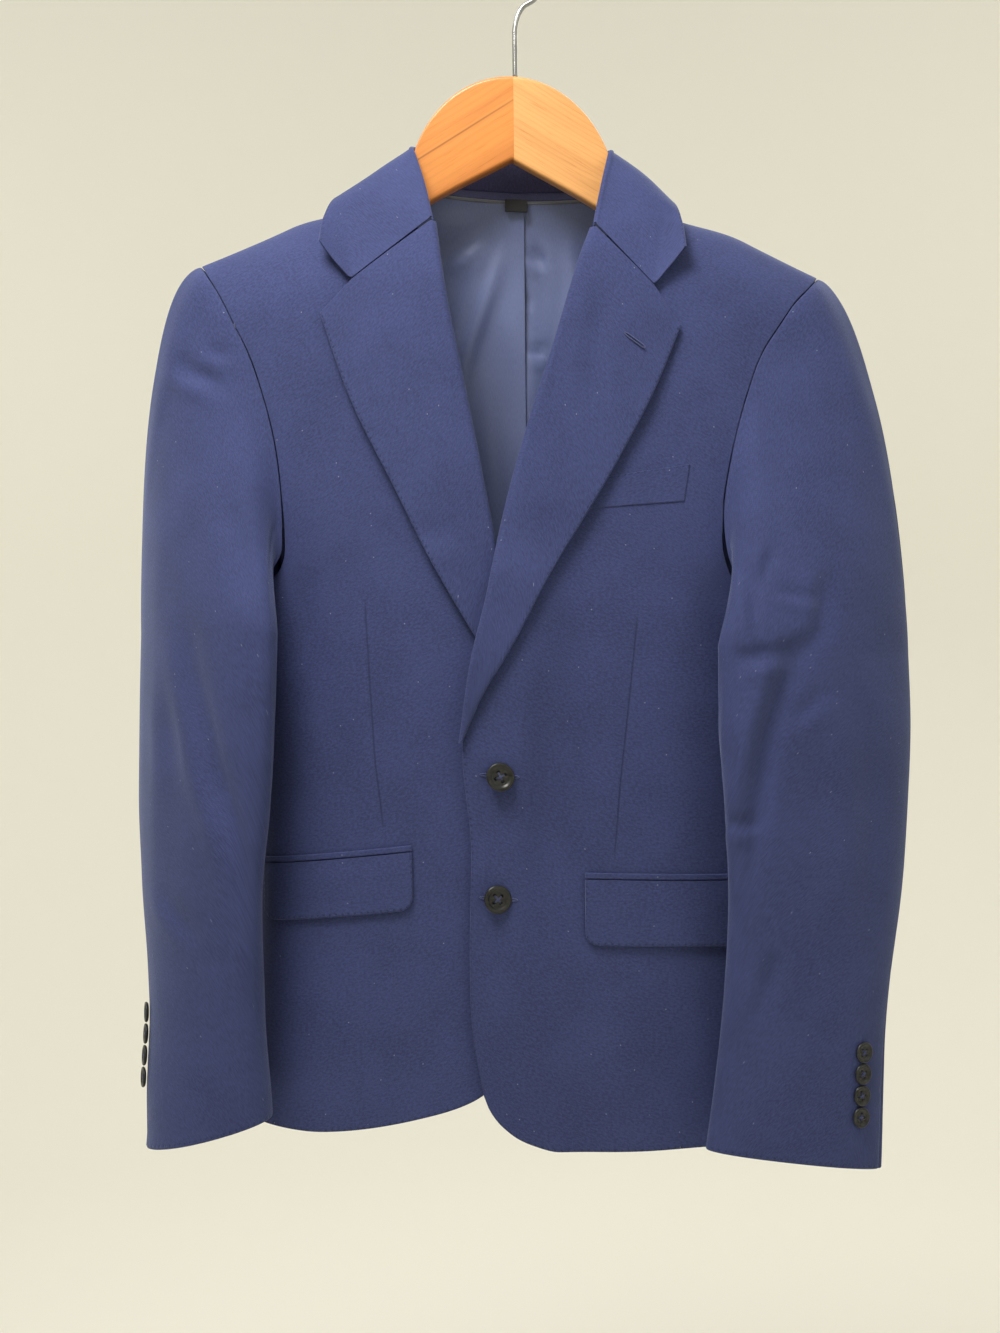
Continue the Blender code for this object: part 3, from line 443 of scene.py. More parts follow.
def cloth_mesh(name, points, facing_to, wall, material, edge=None, seam=None, ring=False):
    """A piece from a grid in millimetres, given its wall inwards. UV cloth holds the distance
    across and down in metres, UV edge the distance from a finished edge and along it, and UV
    seam the distance from a line of sewing."""
    nowhere = np.full((*points.shape[:2], 2), FAR_AWAY)
    layers = {
        "cloth": np.stack([run_along(points, 1), -run_along(points, 0)], axis=-1) * MM,
        "edge": (nowhere if edge is None else edge) * MM,
        "seam": (nowhere if seam is None else seam) * MM,
    }
    obj = grid_mesh(name, tilted(points) * MM, facing_to, material, layers, ring)
    if wall:
        solid = obj.modifiers.new("wall", "SOLIDIFY")
        solid.thickness = wall * MM
        solid.offset = -1
    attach(obj, "root")
    return obj


# ---------------------------------------------------------------- the creases and relief

# Path in X and Z, width, depth and the height of the ridge beside it. A negative depth stands
# out instead of sinking.
FRONT_CREASES = {
    LEFT: (
        (((16, -525), (14, -610), (13, -700), (13, -790)), 13, 2.6, 1.0),
        (((128, -470), (138, -500), (160, -530), (176, -590)), 12, 2.0, 1.2),
        (((96, -760), (104, -800), (100, -850)), 18, 1.8, 0.6),
        (((60, -330), (92, -356), (120, -410)), 16, 1.2, 0.5),
    ),
    RIGHT: (
        (((-150, -470), (-160, -510), (-176, -550)), 12, 2.0, 1.0),
        (((-60, -650), (-66, -740), (-62, -830)), 20, 2.0, 0.8),
        (((-140, -560), (-132, -600), (-136, -640)), 14, 1.4, 0.5),
        (((-118, -330), (-140, -360), (-150, -410)), 15, 1.2, 0.5),
    ),
}
BACK_CREASES = {
    LEFT: (
        (((168, -420), (150, -470), (140, -540)), 16, 2.6, 1.2),
        (((40, -215), (70, -230), (110, -262)), 14, 1.5, 0.6),
        (((70, -600), (82, -700), (78, -820)), 24, 1.0, 0.8),
        (((26, -420), (30, -520), (24, -600)), 20, 0.9, 0.7),
    ),
    RIGHT: (
        (((-172, -430), (-152, -478), (-146, -552)), 16, 2.6, 1.2),
        (((-52, -218), (-84, -236), (-120, -270)), 14, 1.4, 0.6),
        (((-92, -640), (-86, -740), (-94, -830)), 24, 0.9, 0.8),
    ),
}
SLEEVE_CREASES = {
    RIGHT: (
        (
            ((-230, -500), (-226, -545), (-212, -612), (-200, -650), (-193, -680), (-192, -715)),
            7.7, 5.5, 3,
        ),
        (((-243, -316), (-233, -327), (-222, -333), (-210, -343)), 6.3, 3.9, 2.4),
        (((-222, -311), (-212, -315), (-203, -312)), 5.4, 2.6, 1.4),
        (((-251, -420), (-253, -520), (-254, -640), (-256, -760)), 7, -1.6, 0),
        (((-205, -420), (-196, -455), (-190, -500)), 8.1, 2.9, 1.4),
        (((-250, -700), (-236, -722), (-222, -735)), 7.2, 2.3, 1.4),
        (((-246, -560), (-240, -600), (-238, -640)), 7.2, 1.8, 0.9),
    ),
    LEFT: (
        (
            ((196, -505), (182, -536), (168, -579), (161, -616), (156, -654), (152, -700)),
            8.1, 6.2, 3.8,
        ),
        (((213, -462), (209, -480), (205, -506), (190, -524)), 5.9, 3.6, 2.2),
        (((175, -446), (171, -460), (167, -476)), 4, 2.6, 1.2),
        (((156, -462), (158, -482), (160, -512)), 4.5, 3.1, 1.6),
        (((178, -478), (190, -482), (204, -485)), 4, 2.3, 1.2),
        (((182, -573), (194, -560), (207, -545)), 5, 2.6, 1.4),
        (((142, -529), (162, -525), (188, -519)), 6.3, 3.1, 1.6),
        (((130, -641), (146, -641), (162, -637)), 5.4, 2.6, 1.2),
        (((176, -722), (165, -750), (159, -776)), 5.4, 2.6, 1.2),
        (((236, -560), (240, -640), (236, -720)), 10.8, 2.3, 1.1),
        (((176, -330), (186, -380), (184, -430)), 10.8, 2.3, 1.1),
    ),
}
SLEEVE_BACK_CREASES = {
    side: (
        (((side * 216, -470), (side * 204, -540), (side * 192, -610)), 9, 3.6, 2.0),
        (((side * 236, -520), (side * 224, -560), (side * 206, -585)), 7, 2.6, 1.4),
        (((side * 196, -640), (side * 208, -668), (side * 224, -690)), 7, 2.0, 1.0),
        (((side * 228, -720), (side * 222, -780), (side * 226, -830)), 9, 1.8, 0.8),
    )
    for side in (LEFT, RIGHT)
}


DARTS = {
    RIGHT: ((-112, -491), (-106, -606), (-100, -658)),
    LEFT: ((82, -496), (75, -559), (68, -618), (63, -673)),
}


def front_relief(points, side):
    """Height of a front's creases and soft unevenness."""
    return crease_field(points, FRONT_CREASES[side]) + waves(points, 46, 0.35, side + 0.4)


def body_front(side, word, wool):
    down = np.unique(np.concatenate([steps(180, 690), [ARM_SHARE_OF_ROWS]]))
    points = front_panel(side, down, spaced(106))
    normals = normals_of(points, np.array([0, -1, 0.2]))
    height = front_relief(points, side) * facing(normals, -1)
    points = move_by(points, normals, height * ease((1 - spaced(106)) * 8))
    dart = off_line(points, DARTS[side])
    points = move_by(points, normals, -0.45 * np.exp(-((dart[0] / 3.5) ** 2)))
    points = rolled(points, normals, foot=1.3, near=1.3, far=0.7)
    seam = np.stack([dart[1], dart[2] / MM], axis=-1)
    across, gone = run_along(points, 1), run_along(points, 0)
    to_hem = gone[-1:] - gone
    edge = stack(0.0, np.minimum(across, to_hem), np.where(across < to_hem, gone, across))
    made = cloth_mesh(
        f"front_{word}_cloth", points, np.array([0, -1, 0.2]), CLOTH, wool, edge[..., 1:], seam
    )
    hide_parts(f"front_{word}")


def body_back(side, word, wool):
    down = np.unique(np.concatenate([steps(150, 690), [ARM_SHARE_OF_ROWS]]))
    points = back_panel(side, down, spaced(88))
    normals = normals_of(points, np.array([0, 1, 0.2]))
    height = crease_field(points, BACK_CREASES[side]) + waves(points, 60, 0.5, 1.7)
    edges = ease((1 - spaced(88)) * 8) * ease(spaced(88) * 12)
    points = move_by(points, normals, height * facing(normals, 1) * edges)
    points = rolled(points, normals, foot=1.3, near=0.6, far=0.7)
    made = cloth_mesh(f"back_{word}_cloth", points, np.array([0, 1, 0.2]), CLOTH, wool)
    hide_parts(f"back_{word}")


# ---------------------------------------------------------------- the sleeves

SLEEVE = {
    LEFT: table(
        "z inner outer y lean front back turn",
        (-520, 134, 276, -62, 32, 30, 17, 0),
        (-571, 134, 275.5, -65, 30, 31, 20, 10),
        (-627, 138, 272, -67, 26, 31, 23, 25),
        (-683, 140, 267, -71, 20, 29, 22, 38),
        (-755, 136, 258, -76, 14, 24, 19, 48),
        (-823, 129, 255.5, -79, 10, 19, 16, 54),
        (-885, 121, 254, -80, 8, 16, 14, 56),
    ),
    RIGHT: table(
        "z inner outer y lean front back turn",
        (-520, 171, 276, -35, 54, 37, 26, 0),
        (-571, 173, 277, -37, 52, 38, 28, 8),
        (-636, 177, 276, -41, 46, 38, 28, 20),
        (-700, 184, 273.5, -45, 38, 36, 28, 32),
        (-787, 184.5, 273.5, -52, 22, 34, 28, 43),
        (-850, 181, 279, -56, 13, 33, 28, 50),
        (-890, 180, 281, -58, 10, 32, 28, 52),
    ),
}
CAP_FOOT_Z = -520.0
LOW_ARMHOLE_Z, LOW_ARMHOLE = -445.0, 30.0
UNDERARM_OUT = 8.9
LOW_ARRIVES_LESS = 0.7  # how much less the cap's curve overshoots at the underarm
RING_ANGLE = table(
    "way angle", (0, 0), (0.33, 88), (0.74, 172), (1, 284), (1.59, 324), (2, 360)
)
CUFF = {LEFT: (-883.0, 0.105, 3.0), RIGHT: (-890.0, 0.29, 20.0)}
FRONT_SEAM_WAY, BACK_SEAM_WAY = 0.72, 1.5


def ring(side, z, angle):
    """A point of the sleeve at a height and an angle: a leaning oval, flatter at its back."""
    rows = SLEEVE[side]
    inner, outer = (along(rows, "z", name, z) for name in ("inner", "outer"))
    cos, sin = np.cos(angle), np.sin(angle)
    reach = np.where(sin > 0, along(rows, "z", "front", z), along(rows, "z", "back", z))
    x = (inner + outer) / 2 + (outer - inner) / 2 * cos
    y = along(rows, "z", "y", z) + along(rows, "z", "lean", z) * cos - reach * sin
    return stack(side * x, y, z)


def cuff_z(side, angle):
    outer_z, rise, back = CUFF[side]
    across = (1 - np.cos(angle)) / 2
    span = SLEEVE[side]["outer"][-1] - SLEEVE[side]["inner"][-1]
    return outer_z + rise * span * across + back * np.clip(-np.sin(angle), 0, 1)


def turned(side, z, angle):
    return angle + np.radians(along(SLEEVE[side], "z", "turn", z))


def armhole_lines(side):
    """Where the sleeve starts round the armhole, how it leaves it and how it comes down to the
    first ring, at the shares of the way down the front and up the back."""
    t = np.linspace(0, 1, 11)
    down, across = np.linspace(0, 1, 19), spaced(12)
    strips = []
    for make, out in ((front_panel, -1), (back_panel, 1)):
        points = make(side, down, across)
        normals = normals_of(points, np.array([0, out, 0.2]))
        strips.append((points[:11, -2:], normals[:11, -1]))
    (front, front_out), (back, back_out) = strips
    start = np.concatenate([front[:, -1], back[-2::-1, -1]])
    inside = np.concatenate([front[:, -2], back[-2::-1, -2]])
    face = np.concatenate([front_out, back_out[-2::-1]])
    away = np.cross(np.gradient(start, axis=0), face)
    away *= np.sign(((start - inside) * away).sum(axis=1, keepdims=True))
    tip, underarm = [0, 20], 10
    start[tip] = start[0] * (1, 0, 1)
    start[underarm, 1] = 0
    face[tip] = side * SHOULDER_SLOPE, 0, 1
    away[tip] = side, 0, -SHOULDER_SLOPE
    face[underarm] = side, 0, 0.3
    away[underarm] = side * 0.3, 0, -1
    face /= np.linalg.norm(face, axis=1, keepdims=True)
    away /= np.linalg.norm(away, axis=1, keepdims=True)
    low = ease((LOW_ARMHOLE_Z - start[:, 2:]) / LOW_ARMHOLE)
    start = start + ARMHOLE_GAP * away + UNDERARM_OUT * low * face
    way = np.concatenate([arm_shares(t), 2 - arm_shares(t)[-2::-1]])
    high = ((1 + np.cos(np.radians(along(RING_ANGLE, "way", "angle", way)))) / 2)[:, None]
    leave = away * (34 + 96 * high**1.5) * (1 - 0.8 * low) + face * (30 - 26 * high) * (1, 1, 0.2)
    arrive = np.array([0, 0, -1.0]) * (60 + 220 * high) * (1 - LOW_ARRIVES_LESS * low)
    return way, start, leave, arrive


def through(way, values, at):
    """A smooth curve through rows of vectors, one component at a time."""
    columns = [along({"way": way, "v": values[:, k]}, "way", "v", at) for k in range(3)]
    return np.stack(columns, axis=-1)


def sleeve_points(side, cap, tube, t):
    """Rows of rings: a cap that leaves the armhole along the cloth and curves down to the
    first ring, then the tube to the cuff. A ring's points go round by the front."""
    coarse_way, *lines = armhole_lines(side)
    way = np.concatenate([arm_shares(t), 2 - arm_shares(t)[-2::-1]])
    start, leave, arrive = (through(coarse_way, rows, way)[None] for rows in lines)
    angle = np.radians(along(RING_ANGLE, "way", "angle", way))
    foot = ring(side, np.full_like(angle, CAP_FOOT_Z), angle)[None]
    s = cap[:, None, None]
    top = (
        (1 + 2 * s) * (1 - s) ** 2 * start
        + s * (1 - s) ** 2 * leave
        + s * s * (3 - 2 * s) * foot
        + s * s * (s - 1) * arrive
    )
    cuff = cuff_z(side, angle + math.radians(SLEEVE[side]["turn"][-1]))
    level = CAP_FOOT_Z + (cuff - CAP_FOOT_Z)[None, :] * tube[1:, None]
    below = ring(side, level, turned(side, level, angle[None, :]))
    return np.concatenate([top, below]), way


def ring_normals(points):
    """Unit normals of rings that close on themselves, pointing out."""
    down = np.gradient(points, axis=0)
    whole = np.concatenate([points[:, -2:-1], points, points[:, 1:2]], axis=1)
    normals = np.cross(down, (whole[:, 2:] - whole[:, :-2]) / 2)
    normals /= np.maximum(np.linalg.norm(normals, axis=2, keepdims=True), 1e-9)
    middle = points[:, :-1].mean(axis=1, keepdims=True)
    return normals * np.sign((normals * (points - middle)).sum())


def sleeve(side, word, wool):
    cap = steps(62, 250, last=False)
    tube = steps(116, 370, first=False)
    t = np.linspace(0, 1, 70)
    points, way = sleeve_points(side, cap, tube, t)
    normals = ring_normals(points)
    from_seam = run_along(points, 0)
    high = np.clip(np.cos(np.radians(along(RING_ANGLE, "way", "angle", way))), 0, 1)[None, :]
    rope = 1.6 * high * (1 - np.exp(-from_seam / 3)) * np.exp(-from_seam / 22)
    height = crease_field(points, SLEEVE_CREASES[side]) * facing(normals, -1)
    height += crease_field(points, SLEEVE_BACK_CREASES[side]) * facing(normals, 1)
    height += waves(points, 42, 0.55, side * 1.3)
    height *= ease(from_seam / 24)
    around = run_along(points, 1)
    for seam in (FRONT_SEAM_WAY, BACK_SEAM_WAY):
        at = around[:, [int(np.argmin(np.abs(way - seam)))]]
        height -= 0.9 * np.exp(-(((around - at) / 1.5) ** 2)) * ease(from_seam / 6)
    points = move_by(points, normals, height + rope)
    points = rolled(points, normals, top=0.8, foot=1.4)
    points[:, -1] = points[:, 0]
    to_cuff = from_seam[-1:] - from_seam
    edge = np.stack([to_cuff, around], axis=-1)
    middle = points[:, :-1].mean(axis=1, keepdims=True)
    made = cloth_mesh(
        f"sleeve_{word}_cloth", points, points - middle, CLOTH, wool, edge, ring=True
    )
    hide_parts(f"sleeve_top_{word}", f"sleeve_under_{word}")


# ---------------------------------------------------------------- lapels and collar

LAPEL_EDGE = {
    LEFT: table(
        "x z",
        (116, -290.5), (94.4, -341), (62.2, -401), (21.6, -469), (-9.2, -526),
        (-28.4, -558), (-42.5, -590),
    ),
    RIGHT: table(
        "x z",
        (-143, -288), (-119.7, -353), (-88.7, -415.6), (-64.7, -464), (-40.5, -506),
        (-18, -543), (4, -588),
    ),
}
ROLL = {
    LEFT: table(
        "x z",
        (56.4, -218.8), (43.9, -253), (29, -304), (10.6, -361), (-4.2, -412), (-22.9, -490),
        (-34.1, -533), (-43.3, -592),
    ),
    RIGHT: table(
        "x z",
        (-63, -217.5), (-56, -270.5), (-41.2, -348.5), (-29.1, -412), (-13.5, -490),
        (-2, -533), (6.5, -592),
    ),
}
NOTCH = {LEFT: (97.2, -261.1), RIGHT: (-120.1, -263.1)}
NOTCH_AT = 0.66
ROLL_RISE, LAPEL_RISE, LAPEL_STANDS, ROLL_FLATTENS = 9.0, 4.2, 4.2, 3.8


def even(rows, t):
    """Points evenly spaced by height down a table's curve of X and Z."""
    z = rows["z"][0] + (rows["z"][-1] - rows["z"][0]) * t
    return along(rows, "z", "x", z), z


def lapel_points(side, t, s):
    """A sheet turned back over its front. A half round fold joins it to the front's edge at
    the roll line, and it lies closer to the front at its outer edge. Its top row bends at
    the notch."""
    roll_x, roll_z = even(ROLL[side], t)
    edge_x, edge_z = even(LAPEL_EDGE[side], t)
    s, t = s[None, :], t[:, None]
    x = roll_x[:, None] * (1 - s) + edge_x[:, None] * s
    z = roll_z[:, None] * (1 - s) + edge_z[:, None] * s
    bend = np.interp(s, (0, NOTCH_AT, 1), (0, 1, 0)) * np.clip(1 - t * 4, 0, 1) ** 2
    x = x + bend * (NOTCH[side][0] - (roll_x[0] * (1 - NOTCH_AT) + edge_x[0] * NOTCH_AT))
    z = z + bend * (NOTCH[side][1] - (roll_z[0] * (1 - NOTCH_AT) + edge_z[0] * NOTCH_AT))
    roll_rise = ROLL_RISE - ROLL_FLATTENS * ease(-0.8 + 2 * t)
    edge_rise = LAPEL_RISE + LAPEL_STANDS * np.sin(math.pi * t) ** 0.8
    rise = roll_rise + (edge_rise - roll_rise) * ease(s)
    flat = stack(x, front_y(x, z, side) - rise, z)
    turn = np.linspace(0, math.pi, 12)[1:-1][None, :]
    reach = (roll_rise - GAP) / 2
    base = front_y(roll_x, roll_z, side)[:, None]
    fold = stack(
        roll_x[:, None] - side * reach * np.sin(turn),
        base - GAP - reach * (1 - np.cos(turn)),
        roll_z[:, None] + 0 * turn,
    )
    return np.concatenate([fold, flat], axis=1)


LAPEL_CREASES = {
    LEFT: (
        (((62, -262), (54, -300), (52, -350)), 9, 1.6, 0.8),
        (((40, -240), (34, -300), (22, -350)), 8, 1.0, 0.5),
        (((40, -400), (16, -450), (-6, -500)), 14, 1.2, 0.6),
    ),
    RIGHT: (
        (((-80, -440), (-62, -446), (-42, -440)), 9, 1.0, 0.6),
        (((-96, -300), (-84, -350), (-66, -400)), 16, 1.2, 0.6),
    ),
}


def lapel(side, word, wool):
    points = lapel_points(side, steps(120, 370), steps(44, 70, first=False))
    normals = normals_of(points, np.array([0, -1.0, 0]))
    points = move_by(points, normals, crease_field(points, LAPEL_CREASES[side]))
    points = rolled(points, normals, top=0.6, far=1.3)
    across = run_along(points, 1)
    edge = np.stack([across[:, -1:] - across, run_along(points, 0)], axis=-1)
    made = cloth_mesh(f"lapel_{word}_cloth", points, np.array([0, -1.0, 0]), CLOTH, wool, edge)
    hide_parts(f"lapel_{word}")


COLLAR = {
    LEFT: table(
        "way roll_x roll_y roll_z fall_x fall_y fall_z",
        (0, 57.5, -44, -216, 120.3, -55, -233.4),
        (0.18, 65, -29, -183, 120, -38, -212),
        (0.34, 71.5, -13, -157, 117, -16, -193),
        (0.5, 73.5, 4, -148.5, 110, 8, -187),
        (0.75, 52, 33, -145, 76, 42, -190),
        (1, 0, 44, -144, 0, 50, -192),
    ),
    RIGHT: table(
        "way roll_x roll_y roll_z fall_x fall_y fall_z",
        (0, 64, -44, -215, 142.6, -53.5, -239.8),
        (0.18, 71, -29, -184, 141, -36, -219),
        (0.34, 78.5, -13, -159, 134, -16, -199),
        (0.5, 80.5, 4, -150, 117, 8, -190.5),
        (0.75, 54, 33, -145, 78, 42, -190),
        (1, 0, 44, -144, 0, 50, -192),
    ),
}
COLLAR_FOLD, COLLAR_SWELL, COLLAR_OFF = 2.0, 3.0, 5.6
COLLAR_NOTCH_AT, COLLAR_END = 0.74, 0.24
STAND_FOOT_Z, STAND_FROM = -170.6, 0.62


def collar_lines(way, side):
    rows = COLLAR[side]
    line = {
        name: along(rows, "way", name, way) * (side if name.endswith("_x") else 1)
        for name in rows
    }
    roll = stack(line["roll_x"], line["roll_y"], line["roll_z"])
    fall = stack(line["fall_x"], line["fall_y"], line["fall_z"])
    return roll, fall


def collar_half(side, way, turns, s):
    """From the gorge to the centre back: a fold over the roll, then the leaf down to its
    fall. At the gorge the leaf's end follows the gorge seam and turns up at the notch."""
    roll, fall = (line[:, None] for line in collar_lines(way, side))
    inward = -roll * (1, 1, 0) / np.linalg.norm(roll[..., :2], axis=-1, keepdims=True)
    up = np.array([0, 0, 1.0])
    turn = turns[None, :, None]
    fold = roll + COLLAR_FOLD * (inward * (1 - np.cos(turn)) + up * np.sin(turn))
    s = s[None, :, None]
    fade = np.clip(1 - way / COLLAR_END, 0, 1)[:, None, None]
    swell = COLLAR_SWELL * np.sin(math.pi * s) * (1 - fade)
    leaf = roll * (1 - s) + fall * s - inward * swell + up * swell * 0.5
    corner_x, corner_z = NOTCH[side]
    corner = np.array([corner_x, front_y(corner_x, corner_z, side) - COLLAR_OFF, corner_z])
    bend = np.interp(s, (0, COLLAR_NOTCH_AT, 1), (0, 1, 0))
    straight = roll[0] + (fall[0] - roll[0]) * COLLAR_NOTCH_AT
    leaf = leaf + (bend * (corner - straight) + up * GAP) * fade
    return np.concatenate([fold, leaf], axis=1)


def stand_lines():
    """The stand's top and foot round the back of the neck, and the way that it faces."""
    way = np.linspace(STAND_FROM, 1, 40)
    top = np.concatenate([collar_lines(way, LEFT)[0], collar_lines(way, RIGHT)[0][-2::-1]])
    inward = -top * (1, 1, 0) / np.linalg.norm(top[:, :2], axis=1, keepdims=True)
    top = top + inward * 2 * COLLAR_FOLD - np.array([0, 0, COLLAR_FOLD + 2 * GAP])
    foot = top * (1, 1, 0) + inward + np.array([0, 0, STAND_FOOT_Z])
    return top, foot, inward


def collar(wool):
    """The leaf, in one piece round the neck, and inside it the stand down to the neck seam."""
    way = steps(70, 330, last=False)
    turns = math.pi * np.linspace(1.15, 0.1, 10)
    s = steps(34, 62, first=False)
    halves = [collar_half(side, way, turns, s) for side in (LEFT, RIGHT)]
    points = np.concatenate([halves[0], halves[1][-2::-1]])
    out = points - np.array([0, 0, -200.0])
    normals = normals_of(points, out)
    points = move_by(points, normals, waves(points, 38, 0.3, 0.2))
    points = rolled(points, normals, top=0.6, foot=0.6, far=1.3)
    across = run_along(points, 1)
    edge = np.stack([across[:, -1:] - across, run_along(points, 0)], axis=-1)
    made = cloth_mesh("collar_leaf_cloth", points, out, CLOTH, wool, edge)
    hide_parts("collar_leaf")
    top, foot, inward = stand_lines()
    share = steps(16, 24)[None, :, None]
    points = top[:, None] * (1 - share) + foot[:, None] * share
    points = rolled(points, np.repeat(inward[:, None], share.size, axis=1), far=0.7)
    made = cloth_mesh("collar_stand_cloth", points, inward[:, None], CLOTH, wool)
    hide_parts("collar_stand")


# ---------------------------------------------------------------- inside the neck

FACING_FOOT_Z, PIPING_FOOT_Z, LINING_TOP_Z, LINING_FOOT_Z = -180.0, -183.6, -184.0, -842.0
NECK_LEAN = 1.5
LABEL_X, LABEL_Z, LABEL_WALL = (-8.5, 8.5), (-180.6, -190.6), 0.6
LINING_OFF, PLEAT, PLEAT_LIFT = 4.4, 6.0, 3.0
LINING_EDGE = table(
    "z x",
    (-184, 61), (-215, 98), (-260, 142), (-330, 174), (-497, 182), (-640, 175), (-842, 184),
)
LINING_CREASES = {
    RIGHT: (
        (((-10, -216), (-22, -250), (-36, -286), (-48, -330)), 7, -2.6, 1.0),
        (((-52, -232), (-40, -226), (-25, -213)), 4, -1.8, 0.6),
        (((-24, -300), (-20, -400), (-12, -500)), 11, -2.2, 0.8),
        (((-70, -206), (-52, -199), (-34, -194)), 4, -1.6, 0.8),
        (((-62, -240), (-60, -300), (-50, -380)), 9, 1.6, 0.8),
        (((-10, -480), (-4, -540), (-8, -600)), 8, -1.4, 0.6),
        (((-90, -420), (-80, -560), (-92, -700)), 18, -2.2, 0.8),
        (((-30, -620), (-36, -700), (-26, -790)), 16, -2.0, 0.8),
    ),
    LEFT: (
        (((-5, -236), (2, -246), (12, -258)), 3.2, 1.6, 1.0),
        (((8, -291), (15, -294), (24, -290)), 3.5, 1.6, 0.8),
        (((10, -216), (15, -221), (22, -225)), 4.5, 2.2, 0.8),
        (((40, -204), (44, -240), (38, -300)), 8, -2.0, 0.8),
        (((24, -240), (30, -300), (20, -400)), 9, 1.4, 0.8),
        (((30, -420), (22, -520), (30, -640)), 14, -2.0, 0.8),
        (((90, -440), (84, -580), (94, -720)), 18, -2.2, 0.8),
    ),
}


def lined_y(x, z):
    return depth(x, z + LINING_OFF, "back") - LINING_OFF


def neck_strip(name, x, z_top, z_foot, y_top, y_foot, wall, material):
    """A strip round the inside of the neck: straight from its top edge to its foot, with a
    slight swell between and both edges rolled."""
    share = steps(8, abs(z_top - z_foot))[:, None]
    swell = 0.35 * np.sin(math.pi * share)
    points = stack(x, y_top + (y_foot - y_top) * share - swell, z_top + (z_foot - z_top) * share)
    normals = normals_of(points, np.array([0, -1.0, 0]))
    points = rolled(points, normals, top=0.5, foot=0.5)
    return cloth_mesh(name, points, np.array([0, -1.0, 0]), wall, material)


def neck_inside(wool, piping, label):
    stand_foot = stand_lines()[1]
    x = np.linspace(stand_foot[0, 0], stand_foot[-1, 0], 160)
    order = np.argsort(stand_foot[:, 0])
    top_y = np.interp(x, stand_foot[order, 0], stand_foot[order, 1])
    below = lined_y(x, LINING_TOP_Z)
    middle = below + NECK_LEAN
    strips = (
        ("neck_facing", STAND_FOOT_Z - GAP, FACING_FOOT_Z, top_y, middle, wool, 0.0021),
        ("neck_piping", FACING_FOOT_Z - GAP, PIPING_FOOT_Z, middle, below, piping, 0.00058),
    )
    for name, top, foot, y_top, y_foot, material, area in strips:
        made = neck_strip(f"{name}_cloth", x, top, foot, y_top, y_foot, CLOTH, material)
        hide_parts(name)
        "navy_wool" if name == "neck_facing" else "piping"
        0.018 if name == "neck_facing" else 0.0102
    across = np.linspace(*LABEL_X, 24)
    on_lining = lined_y(0, LABEL_Z[0]) - PLEAT_LIFT - LABEL_WALL - GAP
    made = neck_strip("label_tab_cloth", across, *LABEL_Z, on_lining, on_lining, LABEL_WALL, label)
    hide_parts("label_tab")


LINING_DEPTH = 1.7  # how much deeper the lining's creases are than their table says
LINING_SINKS = 1.9  # the most that they sink, so that the lining stays inside the back


def lining(side, word, satin):
    """Half of the back lining, which passes under the other half in a pleat at the middle."""
    t = steps(130, 658)
    z = (LINING_TOP_Z + (LINING_FOOT_Z - LINING_TOP_Z) * t)[:, None]
    reach = along(LINING_EDGE, "z", "x", z)
    a = steps(70, 150)[None, :]
    x = -PLEAT + (reach + PLEAT) * a
    near = ease(1 - (x + PLEAT) / (5 * PLEAT))
    forward = PLEAT_LIFT if side == RIGHT else 0.0
    points = stack(side * x, lined_y(x, z) - forward * near, z)
    normals = normals_of(points, np.array([0, -1.0, 0]))
    height = crease_field(points, LINING_CREASES[side]) + waves(points, 17, 0.3, side + 2.2)
    height = height * ease(t * 40)[:, None] * ease((1 - a) * 8)
    points = move_by(points, normals, np.maximum(height * LINING_DEPTH, -LINING_SINKS))
    made = cloth_mesh(f"lining_back_{word}_cloth", points, np.array([0, -1.0, 0]), LINING, satin)
    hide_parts(f"lining_back_{word}")


# ---------------------------------------------------------------- pockets

FLAP = {LEFT: (42, 188, -686.0, -686.0, 46.5), RIGHT: (80, 190, -670.5, -686.5, 41.0)}
FLAP_CORNER, JET = 9.0, 4.4
FLAP_OFF, WELT_OFF, WELT_WALL = 3.1, 1.0, 0.7
WELT_CORNERS = ((55.7, -402.0), (120.7, -389.5), (48.4, -424.0), (116.2, -416.4))


def laid_on_front(x, z, side, off):
    """Points of the front's own creased surface, moved out."""
    points = stack(x, front_y(x, z, side), z)
    normals = normals_of(points, np.array([0, -1.0, 0]))
    height = front_relief(points, side) * facing(normals, -1) * ease((1 - np.abs(x) / 200) * 8)
    return points + stack(0.0, -(off + height), 0.0), normals


